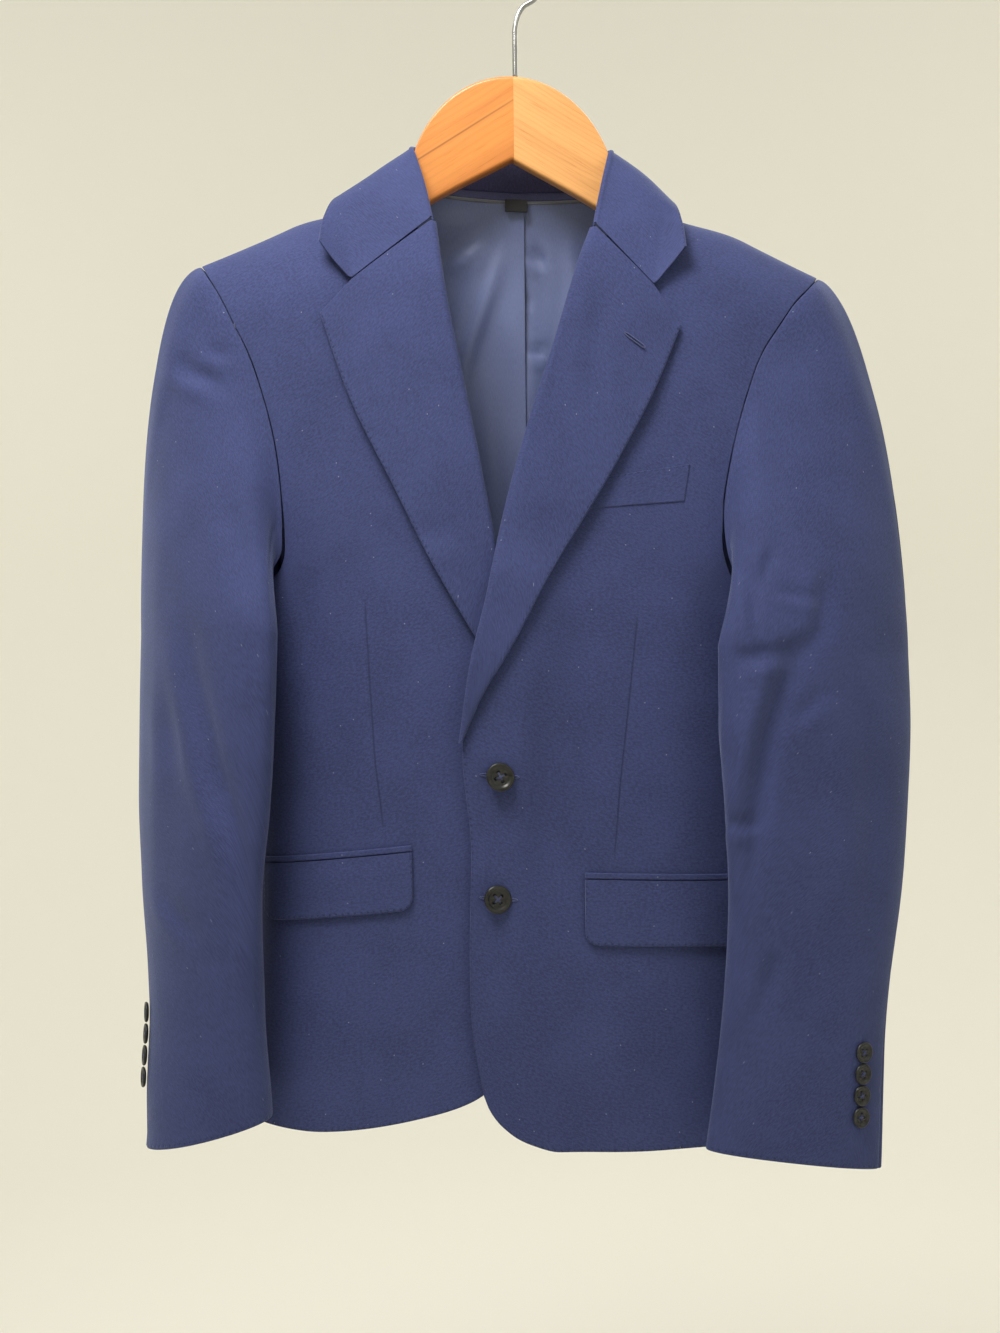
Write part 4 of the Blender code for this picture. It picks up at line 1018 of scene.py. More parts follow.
def flap(side, word, wool):
    near, far, near_z, far_z, deep = FLAP[side]
    u, v = steps(70, far - near)[None, :], steps(34, deep)[:, None]
    out = near + (far - near) * u
    end = np.minimum(out - near, far - out)
    inset = np.clip(FLAP_CORNER - end, 0, FLAP_CORNER)
    corner = FLAP_CORNER - np.sqrt(FLAP_CORNER**2 - inset**2)
    top = near_z + (far_z - near_z) * u
    z = top - v * (deep - corner)
    points, normals = laid_on_front(side * out + 0 * v, z, side, FLAP_OFF)
    swell = 0.7 * np.sin(math.pi * np.clip(u, 0, 1)) ** 0.4 * ease(v * 3)
    points = move_by(points, normals, swell)
    points = rolled(points, normals, foot=1.3, near=1.3, far=1.3)
    down = run_along(points, 0)
    across = run_along(points, 1)
    beside = np.minimum(across, across[:, -1:] - across)
    below = down[-1:] - down
    edge = np.stack([np.minimum(below, beside), np.where(below < beside, across, down)], axis=-1)
    made = cloth_mesh(f"flap_{word}_cloth", points, np.array([0, -1.0, 0]), CLOTH, wool, edge)
    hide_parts(f"flap_{word}")
    rise = np.array([JET, 0.0]) + 2 * GAP
    s = steps(7, JET)[:, None]
    z = top + rise[0] * (1 - s) + rise[1] * s
    points, normals = laid_on_front(side * out + 0 * s, z, side, FLAP_OFF - 0.4)
    points = rolled(points, normals, top=1.0, foot=1.0, near=1.0, far=1.0)
    made = cloth_mesh(f"jet_{word}_cloth", points, np.array([0, -1.0, 0]), CLOTH, wool)
    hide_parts(f"jet_{word}")


def welt(wool):
    (ax, az), (bx, bz), (cx, cz), (dx, dz) = WELT_CORNERS
    u, v = steps(48, 66)[None, :], steps(20, 24)[:, None]
    x = (ax + (bx - ax) * u) * (1 - v) + (cx + (dx - cx) * u) * v
    z = (az + (bz - az) * u) * (1 - v) + (cz + (dz - cz) * u) * v
    points, normals = laid_on_front(x, z, LEFT, WELT_OFF)
    points = rolled(points, normals, top=0.6, foot=0.6, near=0.8, far=0.8)
    edge = np.stack([run_along(points, 0) + 0.8, run_along(points, 1)], axis=-1)
    made = cloth_mesh("breast_welt_cloth", points, np.array([0, -1.0, 0]), WELT_WALL, wool, edge)
    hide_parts("breast_welt")


# ---------------------------------------------------------------- turned and drawn pieces


def merged(obj):
    """Joins the doubled points at a mesh's poles and seams, and turns its faces outwards."""
    import bmesh

    made = bmesh.new()
    made.from_mesh(obj.data)
    bmesh.ops.remove_doubles(made, verts=made.verts, dist=0.0000005)
    bmesh.ops.dissolve_degenerate(made, edges=made.edges, dist=0.0000005)
    bmesh.ops.recalc_face_normals(made, faces=made.faces)
    made.to_mesh(obj.data)
    made.free()
    obj.data.shade_smooth()
    return obj


def tube(name, path, radius, material, around=12, closed=False):
    """A round tube along a path of points: at each point a circle across the path's
    direction, with its first axis kept as near to the front as the path allows. Open ends
    are closed to a point."""
    path = np.array(path, float)
    way = np.gradient(path, axis=0)
    if closed:
        way[0] = way[-1] = path[1] - path[-2]
    way /= np.linalg.norm(way, axis=1, keepdims=True)
    first = np.cross(way, (0, 0, 1.0)) + np.cross(way, (0.02, 1.0, 0)) * 1.0
    first /= np.linalg.norm(first, axis=1, keepdims=True)
    second = np.cross(way, first)
    turn = np.linspace(0, 2 * math.pi, around + 1)[None, :, None]
    radius = np.broadcast_to(np.asarray(radius, float), len(path))[:, None, None]
    points = path[:, None] + radius * (
        first[:, None] * np.cos(turn) + second[:, None] * np.sin(turn)
    )
    if not closed:
        ends = [np.repeat(path[[k]][:, None], around + 1, axis=1) for k in (0, -1)]
        points = np.concatenate([ends[0], points, ends[1]])
    middle = points.mean(axis=1, keepdims=True)
    return merged(cloth_mesh(name, points, points - middle, 0, material, ring=True))


BUTTON_HOLE_AT, BUTTON_HOLE = 0.25, 0.105  # places and size of the four holes, in radii
# A button's half section from the middle of its face over its rim to the middle of its back,
# as shares of radius and thickness.
BUTTON_SECTION = table(
    "way r h",
    (0, 0, 0.7), (0.2, 0.36, 0.69), (0.3, 0.6, 0.7), (0.36, 0.7, 0.86), (0.43, 0.82, 1.0),
    (0.5, 0.94, 0.94), (0.56, 1.0, 0.68), (0.62, 0.97, 0.42), (0.72, 0.8, 0.12), (1, 0, 0),
)


def button_points(radius, thick, rows, around):
    """The section turned round its axis, with four round holes sunk in its face."""
    way = np.linspace(0, 1, rows)[:, None]
    turn = np.linspace(0, 2 * math.pi, around + 1)[None, :]
    r = radius * along(BUTTON_SECTION, "way", "r", way)
    h = thick * along(BUTTON_SECTION, "way", "h", way)
    x, y = r * np.cos(turn), r * np.sin(turn)
    at = radius * BUTTON_HOLE_AT
    off = np.minimum.reduce(
        [np.hypot(x - at * i, y - at * j) for i in (-1, 1) for j in (-1, 1)]
    )
    hole = ease((radius * BUTTON_HOLE * 1.25 - off) / (radius * BUTTON_HOLE * 0.5))
    h = h - 0.55 * thick * hole * (way < 0.45)
    return x, y, h + 0 * x


def turned_to(x, y, h, place, out, up):
    """Points of a flat thing placed at a point, its face turned to the direction out."""
    out = np.array(out, float) / np.linalg.norm(out)
    right = np.cross(up, out)
    right /= np.linalg.norm(right)
    top = np.cross(out, right)
    spread = x[..., None] * right + y[..., None] * top + h[..., None] * out
    return np.array(place, float) + spread


def sewn_button(name, radius, thick, place, out, turn, horn, thread):
    """A four-hole button with two crossing lays of thread."""
    around = 72 if radius > 9 else 48
    x, y, h = button_points(radius, thick, around, around)
    up = np.array([math.sin(turn), 0.0, math.cos(turn)])
    points = turned_to(x, y, h, place, out, up)
    middle = points.mean(axis=(0, 1))
    disc = merged(cloth_mesh(f"{name}_horn", points, points - middle, 0, horn, ring=True))
    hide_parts(name)
    at = radius * BUTTON_HOLE_AT
    s = np.linspace(-1, 1, 15)
    lift = thick * (0.3 + 0.5 * (1 - s**4))
    for k, (dx, dy) in enumerate(((1, 1), (1, -1))):
        for beside in (-0.18, 0.18):
            flat_x = at * s * dx + beside * dy * 1.4
            flat_y = at * s * dy - beside * dx * 1.4
            path = turned_to(flat_x, flat_y, lift + 0.18 * k * (1 - s * s), place, out, up)
            lay = tube(f"{name}_thread_{k}_{int(beside > 0)}", path, 0.26, thread, around=6)


# Place, the turn of the thread, and how the face leans aside and up.
FRONT_BUTTONS = (
    ("upper", -17.2, -614.7, 0.35, (0.16, 0.1)),
    ("lower", -20.2, -700.5, 0.1, (0.3, 0.0)),
)
FRONT_THICK, CUFF_THICK = 3.6, 2.8
CUFF_BUTTON_Z = {LEFT: -799.0, RIGHT: -795.5}
CUFF_BUTTON_STEP, BUTTON_SHANK, CUFF_SHANK = 15.0, 1.2, 0.2
CUFF_BUTTON_ANGLE = {LEFT: 47.0, RIGHT: 14.0}


def sleeve_place(side, z, degrees):
    """A point on the sleeve and the direction it faces."""
    angle = math.radians(degrees)
    here, on, down = (
        ring(side, np.array(level), np.array(turn))
        for level, turn in ((z, angle), (z, angle + 0.02), (z - 2, angle))
    )
    out = np.cross(on - here, down - here)
    out /= np.linalg.norm(out)
    return here, out * (1 if out[1] < 0 else -1)


def buttons(front_radius, cuff_radius, horn, thread):
    """Two front buttons, slightly turned, and four close together on each cuff."""
    for word, x, z, turn, (aside, up) in FRONT_BUTTONS:
        place, out = (x, front_y(x, z, LEFT) - BUTTON_SHANK - 1.5, z), (aside, -1, up)
        sewn_button(f"button_{word}", front_radius, FRONT_THICK, place, out, turn, horn, thread)
    for side, word in SIDES:
        for k in range(4):
            z = CUFF_BUTTON_Z[side] - CUFF_BUTTON_STEP * k
            here, out = sleeve_place(side, z, CUFF_BUTTON_ANGLE[side])
            name, place = f"cuff_button_{word}_{k + 1}", here + out * CUFF_SHANK
            sewn_button(name, cuff_radius, CUFF_THICK, place, out, 0.3 * k, horn, thread)


def worked_hole(name, ends, side, off, wool):
    """A worked buttonhole: a slim ring of thread round a slit, laid on the cloth. Along the
    ring the thread swells and thins like close stitches."""
    (ax, az), (bx, bz) = ends
    turn = np.linspace(0, 2 * math.pi, 121)
    half = math.hypot(bx - ax, bz - az) / 2
    along_slit = half * np.sign(np.cos(turn)) * np.abs(np.cos(turn)) ** 0.35
    across = 0.9 * np.sin(turn)
    ux, uz = (bx - ax) / (2 * half), (bz - az) / (2 * half)
    x = (ax + bx) / 2 + along_slit * ux - across * uz
    z = (az + bz) / 2 + along_slit * uz + across * ux
    y = front_y(x, z, side) - off - front_relief(stack(x, 0.0, z)[None], side)[0]
    radius = 0.5 + 0.1 * np.sin(turn * 60)
    ring_of_thread = tube(name, stack(x, y, z), radius, wool, around=8, closed=True)


# Ends in X and Z, the side, and how far off the front the ring of thread lies.
HOLES = (
    ("buttonhole_upper", ((-31, -613.5), (-4, -614.5)), LEFT, 0.4),
    ("buttonhole_lower", ((-32, -700), (-6, -701)), LEFT, 0.4),
    ("buttonhole_lapel", ((75, -298), (89, -308)), LEFT, 7.5),
)


def buttonholes(thread):
    for name, ends, side, off in HOLES:
        worked_hole(name, ends, side, off, thread)


# ---------------------------------------------------------------- hanger and hook

HANGER_X, MITRE_X, MITRE_GAP = -3.0, -1.5, 0.03
DOME_HALF, DOME_BASE_Z, DOME_TOP_Z = 79.0, -190.0, -96.0
ARM_FROM, ARM_END, ARM_BELOW = 88.0, 204.0, 10.5
TIP, DOME_LEAVES = 5.0, 0.985
HANGER_THICK, HANGER_ROUND = 12.0, 2.6
UNDER = table(
    "x z", (0, -158.5), (67, -195.4), (95, -215), (130, -239), (175, -261), (204, -272)
)
HOOK_RADIUS, HOOK_BEND_Z = 22.0, -64.0


def arm_height(out):
    """Top and underside of an arm at distances out from the hanger's middle: an elliptic dome,
    a short step, then the arm just under the shoulder line; its tip is a half round."""
    dome = DOME_BASE_Z + (DOME_TOP_Z - DOME_BASE_Z) * np.sqrt(
        np.clip(1 - (out / DOME_HALF) ** 2, 0, 1)
    )
    arm = ridge(np.maximum(out, ARM_FROM)) - ARM_BELOW
    leave = DOME_HALF * DOME_LEAVES
    step = ease((out - leave) / (ARM_FROM - leave))
    top = np.where(out < leave, dome, dome + (arm - dome) * step)
    foot = along(UNDER, "x", "z", out)
    tip = np.sqrt(np.clip(1 - ((out - ARM_END + TIP) / TIP) ** 2, 0, 1))
    half = (top - foot) / 2 * np.where(out > ARM_END - TIP, tip, 1)
    return (top + foot) / 2, half


def hanger_arm(word, sign, beech):
    """A rounded board: at stations out along the arm, a section between its top and underside
    with quarter circles at its corners, closed at the mitre and drawn to an edge at the tip."""
    start = abs(MITRE_X + sign * MITRE_GAP / 2 - HANGER_X)
    dome = DOME_HALF * np.sin(np.linspace(0, math.pi / 2, 70))
    tip = ARM_END - TIP + TIP * np.sin(np.linspace(0, math.pi / 2, 12))
    plain = np.linspace(DOME_HALF, ARM_END - TIP, 60)
    out = np.unique(np.concatenate([[start], dome[dome > start] if sign > 0 else dome, plain, tip]))
    if sign < 0:
        out = np.concatenate([[-start], out])
    middle, half = arm_height(np.abs(out))
    corner = np.linspace(0, math.pi / 2, 6)
    radius = np.minimum(HANGER_ROUND, half)[:, None]
    flat_y, flat_z = HANGER_THICK / 2 - radius, half[:, None] - radius
    quarter = []
    for k, (way_y, way_z) in enumerate(((-1, 1), (1, 1), (1, -1), (-1, -1))):
        swing = corner + k * math.pi / 2
        y = way_y * flat_y - radius * np.cos(swing)
        z = way_z * flat_z + radius * np.sin(swing)
        inset = np.minimum(1.0, flat_z * 0.5) * way_z
        if k % 2 == 0:
            y = np.concatenate([y[:, :1], y], axis=1)
            z = np.concatenate([z[:, :1] - inset, z], axis=1)
        else:
            y = np.concatenate([y, y[:, -1:]], axis=1)
            z = np.concatenate([z, z[:, -1:] - inset], axis=1)
        quarter.append((y, z))
    y = np.concatenate([part[0] for part in quarter] + [quarter[0][0][:, :1]], axis=1)
    z = np.concatenate([part[1] for part in quarter] + [quarter[0][1][:, :1]], axis=1)
    points = stack((sign * out + HANGER_X)[:, None], y, middle[:, None] + z)
    mitre = points[:1].mean(axis=1, keepdims=True) + 0 * points[:1]
    points = np.concatenate([mitre, points])
    name = f"hanger_arm_{word}_wood"
    axis = stack(points[..., 0], 0 * points[..., 1], points.mean(axis=1, keepdims=True)[..., 2])
    made = merged(cloth_mesh(name, points, points - axis, 0, beech, ring=True))
    made.data.set_sharp_from_angle(angle=math.radians(50))
    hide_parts(f"hanger_arm_{word}")


def hook(wire, steel):
    """A straight stem, an eased bend to one side, then an arc over the hanging point."""
    middle = wire - HOOK_RADIUS
    turn = np.radians(np.linspace(-63, 206, 110))
    arc = np.stack([HOOK_RADIUS * np.cos(turn), middle + HOOK_RADIUS * np.sin(turn)], 1)
    s = np.linspace(0, 1, 26)[:, None]
    start, bend = np.array([0, HOOK_BEND_Z]), arc[0]
    leave, arrive = np.array([0, 30.0]), np.array([13.0, 6.0]) * 1.6
    join = (
        (1 + 2 * s) * (1 - s) ** 2 * start
        + s * (1 - s) ** 2 * leave
        + s * s * (3 - 2 * s) * bend
        + s * s * (s - 1) * arrive
    )
    stem = np.stack([np.zeros(16), np.linspace(DOME_TOP_Z + GAP, HOOK_BEND_Z, 16)], 1)
    flat = np.concatenate([stem, join[1:], arc[1:]])
    radius = np.full(len(flat), wire)
    radius[-4:] = wire * np.array([0.97, 0.88, 0.7, 0.4])
    path = stack(flat[:, 0], 0.0, flat[:, 1])
    made = tube("hanger_hook_wire", path, radius, steel, around=20)
    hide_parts("hanger_hook")


# ---------------------------------------------------------------- finishes


class Wire:
    """A socket of a finish's node tree. Arithmetic on it adds Math nodes."""

    def __init__(self, finish, socket):
        self.finish, self.socket = finish, socket

    def maths(self, operation, *values):
        return self.finish.node("Math", {"operation": operation}, values)

    def __add__(self, other):
        return self.maths("ADD", self, other)

    def __sub__(self, other):
        return self.maths("SUBTRACT", self, other)

    def __rsub__(self, other):
        return self.maths("SUBTRACT", other, self)

    def __mul__(self, other):
        return self.maths("MULTIPLY", self, other)

    def __truediv__(self, other):
        return self.maths("DIVIDE", self, other)

    __radd__, __rmul__ = __add__, __mul__

    def between(self, low, high):
        """0 at the low value, 1 at the high one, smooth at both."""
        settings = {"interpolation_type": "SMOOTHSTEP"}
        return self.finish.node("MapRange", settings, {0: self, 1: low, 2: high})

    def near(self, value, width):
        """1 at the value, falling to nothing beyond about the width on either side."""
        off = (self - value) / width
        return self.maths("EXPONENT", off * off * -1)

    def cosine(self, pitch):
        return self.maths("COSINE", self * (2 * math.pi / pitch))


class Finish:
    """A material in the making, with its constants set on the shader's own sockets."""

    def __init__(self, name, constants):
        self.material = bpy.data.materials.new(name)
        self.material.use_nodes = True
        self.tree = self.material.node_tree
        self.shader = self.tree.nodes["Principled BSDF"]
        for socket, value in constants.items():
            self.shader.inputs[socket].default_value = value

    def node(self, kind, settings=None, inputs=(), output=0):
        made = self.tree.nodes.new(f"ShaderNode{kind}")
        for name, value in (settings or {}).items():
            setattr(made, name, value)
        pairs = inputs.items() if isinstance(inputs, dict) else enumerate(inputs)
        for key, value in pairs:
            if isinstance(value, Wire):
                self.tree.links.new(value.socket, made.inputs[key])
            else:
                made.inputs[key].default_value = value
        return Wire(self, made.outputs[output])

    def uv(self, layer):
        return self.node("UVMap", {"uv_map": layer})

    def place(self):
        return self.node("TexCoord", output="Object")

    def parts(self, vector):
        split = self.node("SeparateXYZ", None, [vector]).socket.node
        return [Wire(self, socket) for socket in split.outputs]

    def scaled(self, vector, factors):
        return self.node("VectorMath", {"operation": "MULTIPLY"}, [vector, factors])

    def dot(self, vector, other):
        return self.node("VectorMath", {"operation": "DOT_PRODUCT"}, [vector, other], output=1)

    def noise(self, vector, size=1.0, detail=2.0, rough=0.5, bent=0.0):
        sockets = {
            "Vector": vector, "Scale": size, "Detail": detail, "Roughness": rough,
            "Distortion": bent,
        }
        return self.node("TexNoise", None, sockets)

    def mix(self, share, first, second):
        return self.node("Mix", {"data_type": "RGBA"}, {0: share, 6: first, 7: second}, output=2)

    def done(self, colour, roughness=None, height=None, strength=1.0):
        """Links the varying sockets. The height is in millimetres."""
        links = self.tree.links
        links.new(colour.socket, self.shader.inputs["Base Color"])
        if roughness is not None:
            links.new(roughness.socket, self.shader.inputs["Roughness"])
        if height is not None:
            sockets = {"Height": height, "Distance": MM, "Strength": strength}
            bump = self.node("Bump", None, sockets)
            links.new(bump.socket, self.shader.inputs["Normal"])
        return self.material


def shade(colour, amount):
    """A colour made lighter or darker by an amount, with its alpha kept."""
    return (*(min(1.0, part * amount) for part in colour[:3]), 1.0)


YARN = 0.0011  # m, two yarns of the plain weave
STITCH_PITCH, STITCH_IN, STITCH_WIDTH = 0.0048, 0.0022, 0.0007
LINT_CELLS = 95  # a metre, of which few hold a speck of lint


def wool_finish(look):
    """Navy wool: uneven weft yarns, slow mottling, sparse lint, a plain weave, and the pick
    stitches beside finished edges, with painted shade darkening the stitch dimples and the dart
    seams."""
    made = Finish(
        "Navy wool suiting",
        {
            "Sheen Weight": 0.32, "Sheen Roughness": 0.42, "Sheen Tint": (0.5, 0.57, 0.85, 1),
            "Specular IOR Level": 0.28,
        },
    )
    cloth = made.uv("cloth")
    across, down, _ = made.parts(cloth)
    weft = made.noise(made.scaled(cloth, (150, 2400, 0)), detail=2.5, rough=0.6)
    warp = made.noise(made.scaled(cloth, (2200, 220, 0)), detail=2, rough=0.6)
    mottle = made.noise(made.place(), 22, detail=3, rough=0.55)
    edge_in, edge_along, _ = made.parts(made.uv("edge"))
    seam_off, seam_run, _ = made.parts(made.uv("seam"))
    stitch = edge_in.near(STITCH_IN, STITCH_WIDTH) * edge_along.cosine(STITCH_PITCH).between(0, 1)
    groove = seam_off.near(0, 0.0007) * seam_run.between(0, 0.06) * (1 - seam_run).between(0, 0.06)
    fleck = made.noise(made.scaled(cloth, (420, 640, 0)), detail=3, rough=0.7)
    lighter = weft.between(0.3, 0.72) * 0.3 + warp.between(0.35, 0.7) * 0.15
    lighter = lighter + mottle.between(0.3, 0.7) * 0.2 + fleck.between(0.36, 0.66) * 0.45 - 0.05
    colour = made.mix(lighter, shade(look.wool, 0.66), shade(look.wool, 1.42))
    # Painted shade: the pick-stitch dimples and the dart seam groove are darkened in the colour.
    colour = made.mix(stitch * 0.45 + groove * 0.5, colour, shade(look.wool, 0.4))
    specks, chance = (
        made.node(
            "TexVoronoi",
            {"voronoi_dimensions": "2D"},
            {"Vector": cloth, "Scale": LINT_CELLS},
            output=output,
        )
        for output in ("Distance", "Color")
    )
    chosen, _, _ = made.parts(chance)
    lint = (1 - specks.between(0.02, 0.055)) * chosen.between(0.93, 0.95)
    colour = made.mix(lint * 0.5, colour, (0.42, 0.45, 0.52, 1))
    weave = across.cosine(YARN) * down.cosine(YARN)
    height = weave * 0.035 + weft * 0.1 + warp * 0.06 + fleck * 0.12 - stitch * 0.5 - groove * 0.55
    return made.done(colour, 0.72 + weft * 0.2, height, 0.75)


def thread_finish(look):
    """Navy buttonhole and sewing thread, with its twist."""
    made = Finish("Navy thread", {"Sheen Weight": 0.3, "Specular IOR Level": 0.35})
    across, down, _ = made.parts(made.uv("cloth"))
    twist = (across + down).cosine(0.0006)
    patch = made.noise(made.place(), 900)
    colour = made.mix(twist * 0.35 + patch * 0.5, shade(look.wool, 0.8), shade(look.wool, 2.6))
    return made.done(colour, 0.55 + patch * 0.2, twist * 0.06, 1.0)


def satin_finish(look):
    """Slate-blue lining: a smooth satin with long floats and soft slubs."""
    made = Finish(
        "Slate satin lining",
        {"Specular IOR Level": 0.7, "Sheen Weight": 0.1, "Sheen Tint": (0.7, 0.78, 1, 1)},
    )
    cloth = made.uv("cloth")
    across, down, _ = made.parts(cloth)
    floats = made.noise(made.scaled(cloth, (3000, 240, 0)), detail=2)
    slow = made.noise(made.place(), 26, detail=2)
    colour = made.mix(
        floats.between(0.3, 0.7) * 0.5 + slow * 0.5,
        shade(look.lining, 0.8),
        shade(look.lining, 1.2),
    )
    rib = (across + down * 0.6).cosine(0.0005)
    return made.done(colour, 0.36 + floats * 0.16, rib * 0.01 + floats * 0.03, 0.6)


def piping_finish(look):
    """Pale satin piping cut on the bias, so its ribs run aslant."""
    made = Finish("Pale satin piping", {"Specular IOR Level": 0.55, "Sheen Weight": 0.1})
    across, down, _ = made.parts(made.uv("cloth"))
    rib = (across + down).cosine(0.0007)
    patch = made.noise(made.place(), 420)
    colour = made.mix(rib * 0.25 + patch * 0.6, shade(look.piping, 0.8), shade(look.piping, 1.15))
    return made.done(colour, 0.4 + patch * 0.15, rib * 0.03, 0.8)


def tape_finish(look):
    """Black woven tape: a plain damask of fine ribs with streaky flecks."""
    made = Finish("Black label tape", {"Specular IOR Level": 0.4, "Sheen Weight": 0.2})
    cloth = made.uv("cloth")
    across, down, _ = made.parts(cloth)
    rib = across.cosine(0.0005) * down.cosine(0.0005)
    fleck = made.noise(made.scaled(cloth, (900, 2600, 0)))
    colour = made.mix(rib * 0.3 + fleck * 0.6, (0.006, 0.006, 0.008, 1), (0.03, 0.03, 0.036, 1))
    return made.done(colour, 0.6 + fleck * 0.2, rib * 0.04, 0.8)


def horn_finish(look):
    """Dark polished horn: cloudy streaks across the button, a painted highlight on the raised rim,
    and fine scratches.
    UV edge is not filled on the buttons and holds its far value, so the rim mask that reads it
    comes to nearly nothing."""
    made = Finish("Dark horn", {"Specular IOR Level": 0.55, "Coat Roughness": 0.18})
    way, _, _ = made.parts(made.uv("edge"))
    place = made.place()
    cloud = made.noise(made.scaled(place, (90, 90, 420)), detail=4, rough=0.6, bent=0.6)
    fine = made.noise(made.scaled(place, (800, 800, 3400)), detail=2)
    # Painted highlight: the raised rim is lightened in the colour.
    rim = way.near(0.45, 0.055)
    colour = made.mix(cloud.between(0.35, 0.7), shade(look.horn, 0.3), shade(look.horn, 1.3))
    colour = made.mix(rim * (0.3 + cloud * 0.8), colour, shade(look.horn, 12))
    return made.done(colour, 0.24 + fine * 0.22, cloud * 0.03 + fine * 0.02, 0.7)


GRAIN_ANGLE = 31.5  # degrees, the fall of the grain along each arm
DARK_LINE_AT = -0.0964  # m across the grain, one dark growth line on the right arm


def beech_finish(look, sign):
    """Varnished beech: growth bands and fine pores along the arm, one dark line on the right
    one, and a satin coat. The left arm's board is finer, and paler partly in its own wood and
    partly as painted light, for the fuller light on its face."""
    right = sign == RIGHT
    made = Finish(
        f"Varnished beech {'right' if right else 'left'}",
        {"Specular IOR Level": 0.5, "Coat Weight": 0.25, "Coat Roughness": 0.22},
    )
    turn = math.radians(GRAIN_ANGLE if right else -GRAIN_ANGLE)
    place = made.place()
    _, y, _ = made.parts(place)
    run = made.dot(place, (math.cos(turn), 0, math.sin(turn)))
    across = made.dot(place, (-math.sin(turn), 0, math.cos(turn)))
    flow = made.node("CombineXYZ", None, [run * 5, y * 40, across * 60])
    bands = made.noise(flow, 1.0, detail=3, rough=0.55, bent=0.35)
    pores = made.noise(made.scaled(flow, (9, 12, 22)), detail=2, rough=0.6)
    rings = (across + bands * 0.01).cosine(0.0052 if right else 0.0036)
    red, green, blue, _ = look.beech
    # The left arm's paler base is partly its own paler board and partly painted light for its face
    # turned to the light.
    base = (red, green, blue, 1) if right else (red * 1.08, green * 1.45, blue * 2.6, 1)
    dark = (base[0] * 0.66, base[1] * 0.5, base[2] * 0.36, 1)
    share = bands.between(0.38, 0.72) * (0.5 if right else 0.3) + rings.between(0.1, 1) * 0.16
    share = share + (1 - pores.between(0.3, 0.42)) * 0.4
    colour = made.mix(share, base, dark)
    if right:
        line = across.near(DARK_LINE_AT, 0.0007) * run.between(0.0, -0.1)
        colour = made.mix(line * 0.7, colour, shade(dark, 0.45))
    height = pores * 0.05 + bands * 0.06
    return made.done(colour, 0.3 + pores * 0.18, height, 0.5)


def steel_finish(look):
    """Polished steel wire with faint drawing lines and smudges."""
    made = Finish("Polished steel", {"Metallic": 1.0})
    cloth = made.uv("cloth")
    drawn = made.noise(made.scaled(cloth, (5200, 120, 0)), detail=2)
    smudge = made.noise(made.place(), 130, detail=3)
    colour = made.mix(smudge, (0.3, 0.3, 0.31, 1), (0.5, 0.5, 0.5, 1))
    return made.done(colour, 0.14 + smudge * 0.14 + drawn * 0.08, drawn * 0.02, 0.5)


def backdrop_finish(look):
    """Matt cream paint with a barely uneven tone."""
    made = Finish("Cream backdrop", {"Specular IOR Level": 0.2})
    patch = made.noise(made.place(), 0.8, detail=2)
    colour = made.mix(patch, shade(look.backdrop, 0.985), shade(look.backdrop, 1.015))
    return made.done(colour, 0.85 + patch * 0.1)


FINISHES = {
    "wool": wool_finish,
    "thread": thread_finish,
    "satin": satin_finish,
    "piping": piping_finish,
    "tape": tape_finish,
    "horn": horn_finish,
    "beech_left": lambda look: beech_finish(look, LEFT),
    "beech_right": lambda look: beech_finish(look, RIGHT),
    "steel": steel_finish,
    "backdrop": backdrop_finish,
}
made_finishes = {}


def finish(name):
    """The finish of a name, made the first time it is asked for."""
    if name not in made_finishes:
        made_finishes[name] = FINISHES[name](bpy.context.scene.blazer_look)
    return made_finishes[name]


# ---------------------------------------------------------------- studio

FLOOR_Z, BOWL_RADIUS, BOWL_BEND, BOWL_TOP = -1.5, 3.3, 1.3, 2.6
CAMERA_PLACE, CAMERA_TURN, LENS, SENSOR = (-0.0163, -1.2, -0.537), 0.01125, 43.2, 36.0
# Name, place, what it points at, size, watts and tint.
LAMPS = (
    ("key_light", (-0.34, -0.62, 0.55), (0.0, 0, -0.42), 0.55, 15.0, (1.0, 0.99, 0.96)),
    ("fill_light", (1.6, -1.7, 0.3), (0, 0, -0.5), 1.4, 4.0, (0.94, 0.97, 1.0)),
    ("back_light", (0.9, 1.9, 1.1), (0, 0, -0.5), 1.4, 12.0, (1.0, 0.99, 0.96)),
    ("left_wash", (-1.3, 0.7, 1.3), (-0.6, 3.3, -0.7), 1.0, 13.0, (1.0, 0.99, 0.965)),
    ("right_wash", (1.3, 0.7, 1.3), (0.6, 3.3, -0.7), 1.0, 11.5, (1.0, 0.99, 0.965)),
)


def backdrop(colour):
    """A round bowl: a flat floor, a quarter circle up and a straight wall, turned round Z."""
    flat = BOWL_RADIUS - BOWL_BEND
    bend = np.linspace(0, math.pi / 2, 24)
    floor = np.linspace(0, flat, 8)[:-1]
    r = np.concatenate([floor, flat + BOWL_BEND * np.sin(bend), [BOWL_RADIUS]])
    z = np.concatenate([np.zeros(len(floor)), BOWL_BEND * (1 - np.cos(bend)), [BOWL_TOP - FLOOR_Z]])
    turn = np.linspace(0, 2 * math.pi, 97)[None, :]
    points = stack(r[:, None] * np.cos(turn), r[:, None] * np.sin(turn), z[:, None] + FLOOR_Z)
    inward = np.array([0, 0, 1.0]) - points * (1, 1, 0)
    bowl = grid_mesh("backdrop_bowl", points, inward, colour, {}, ring=True)
    merged(bowl)


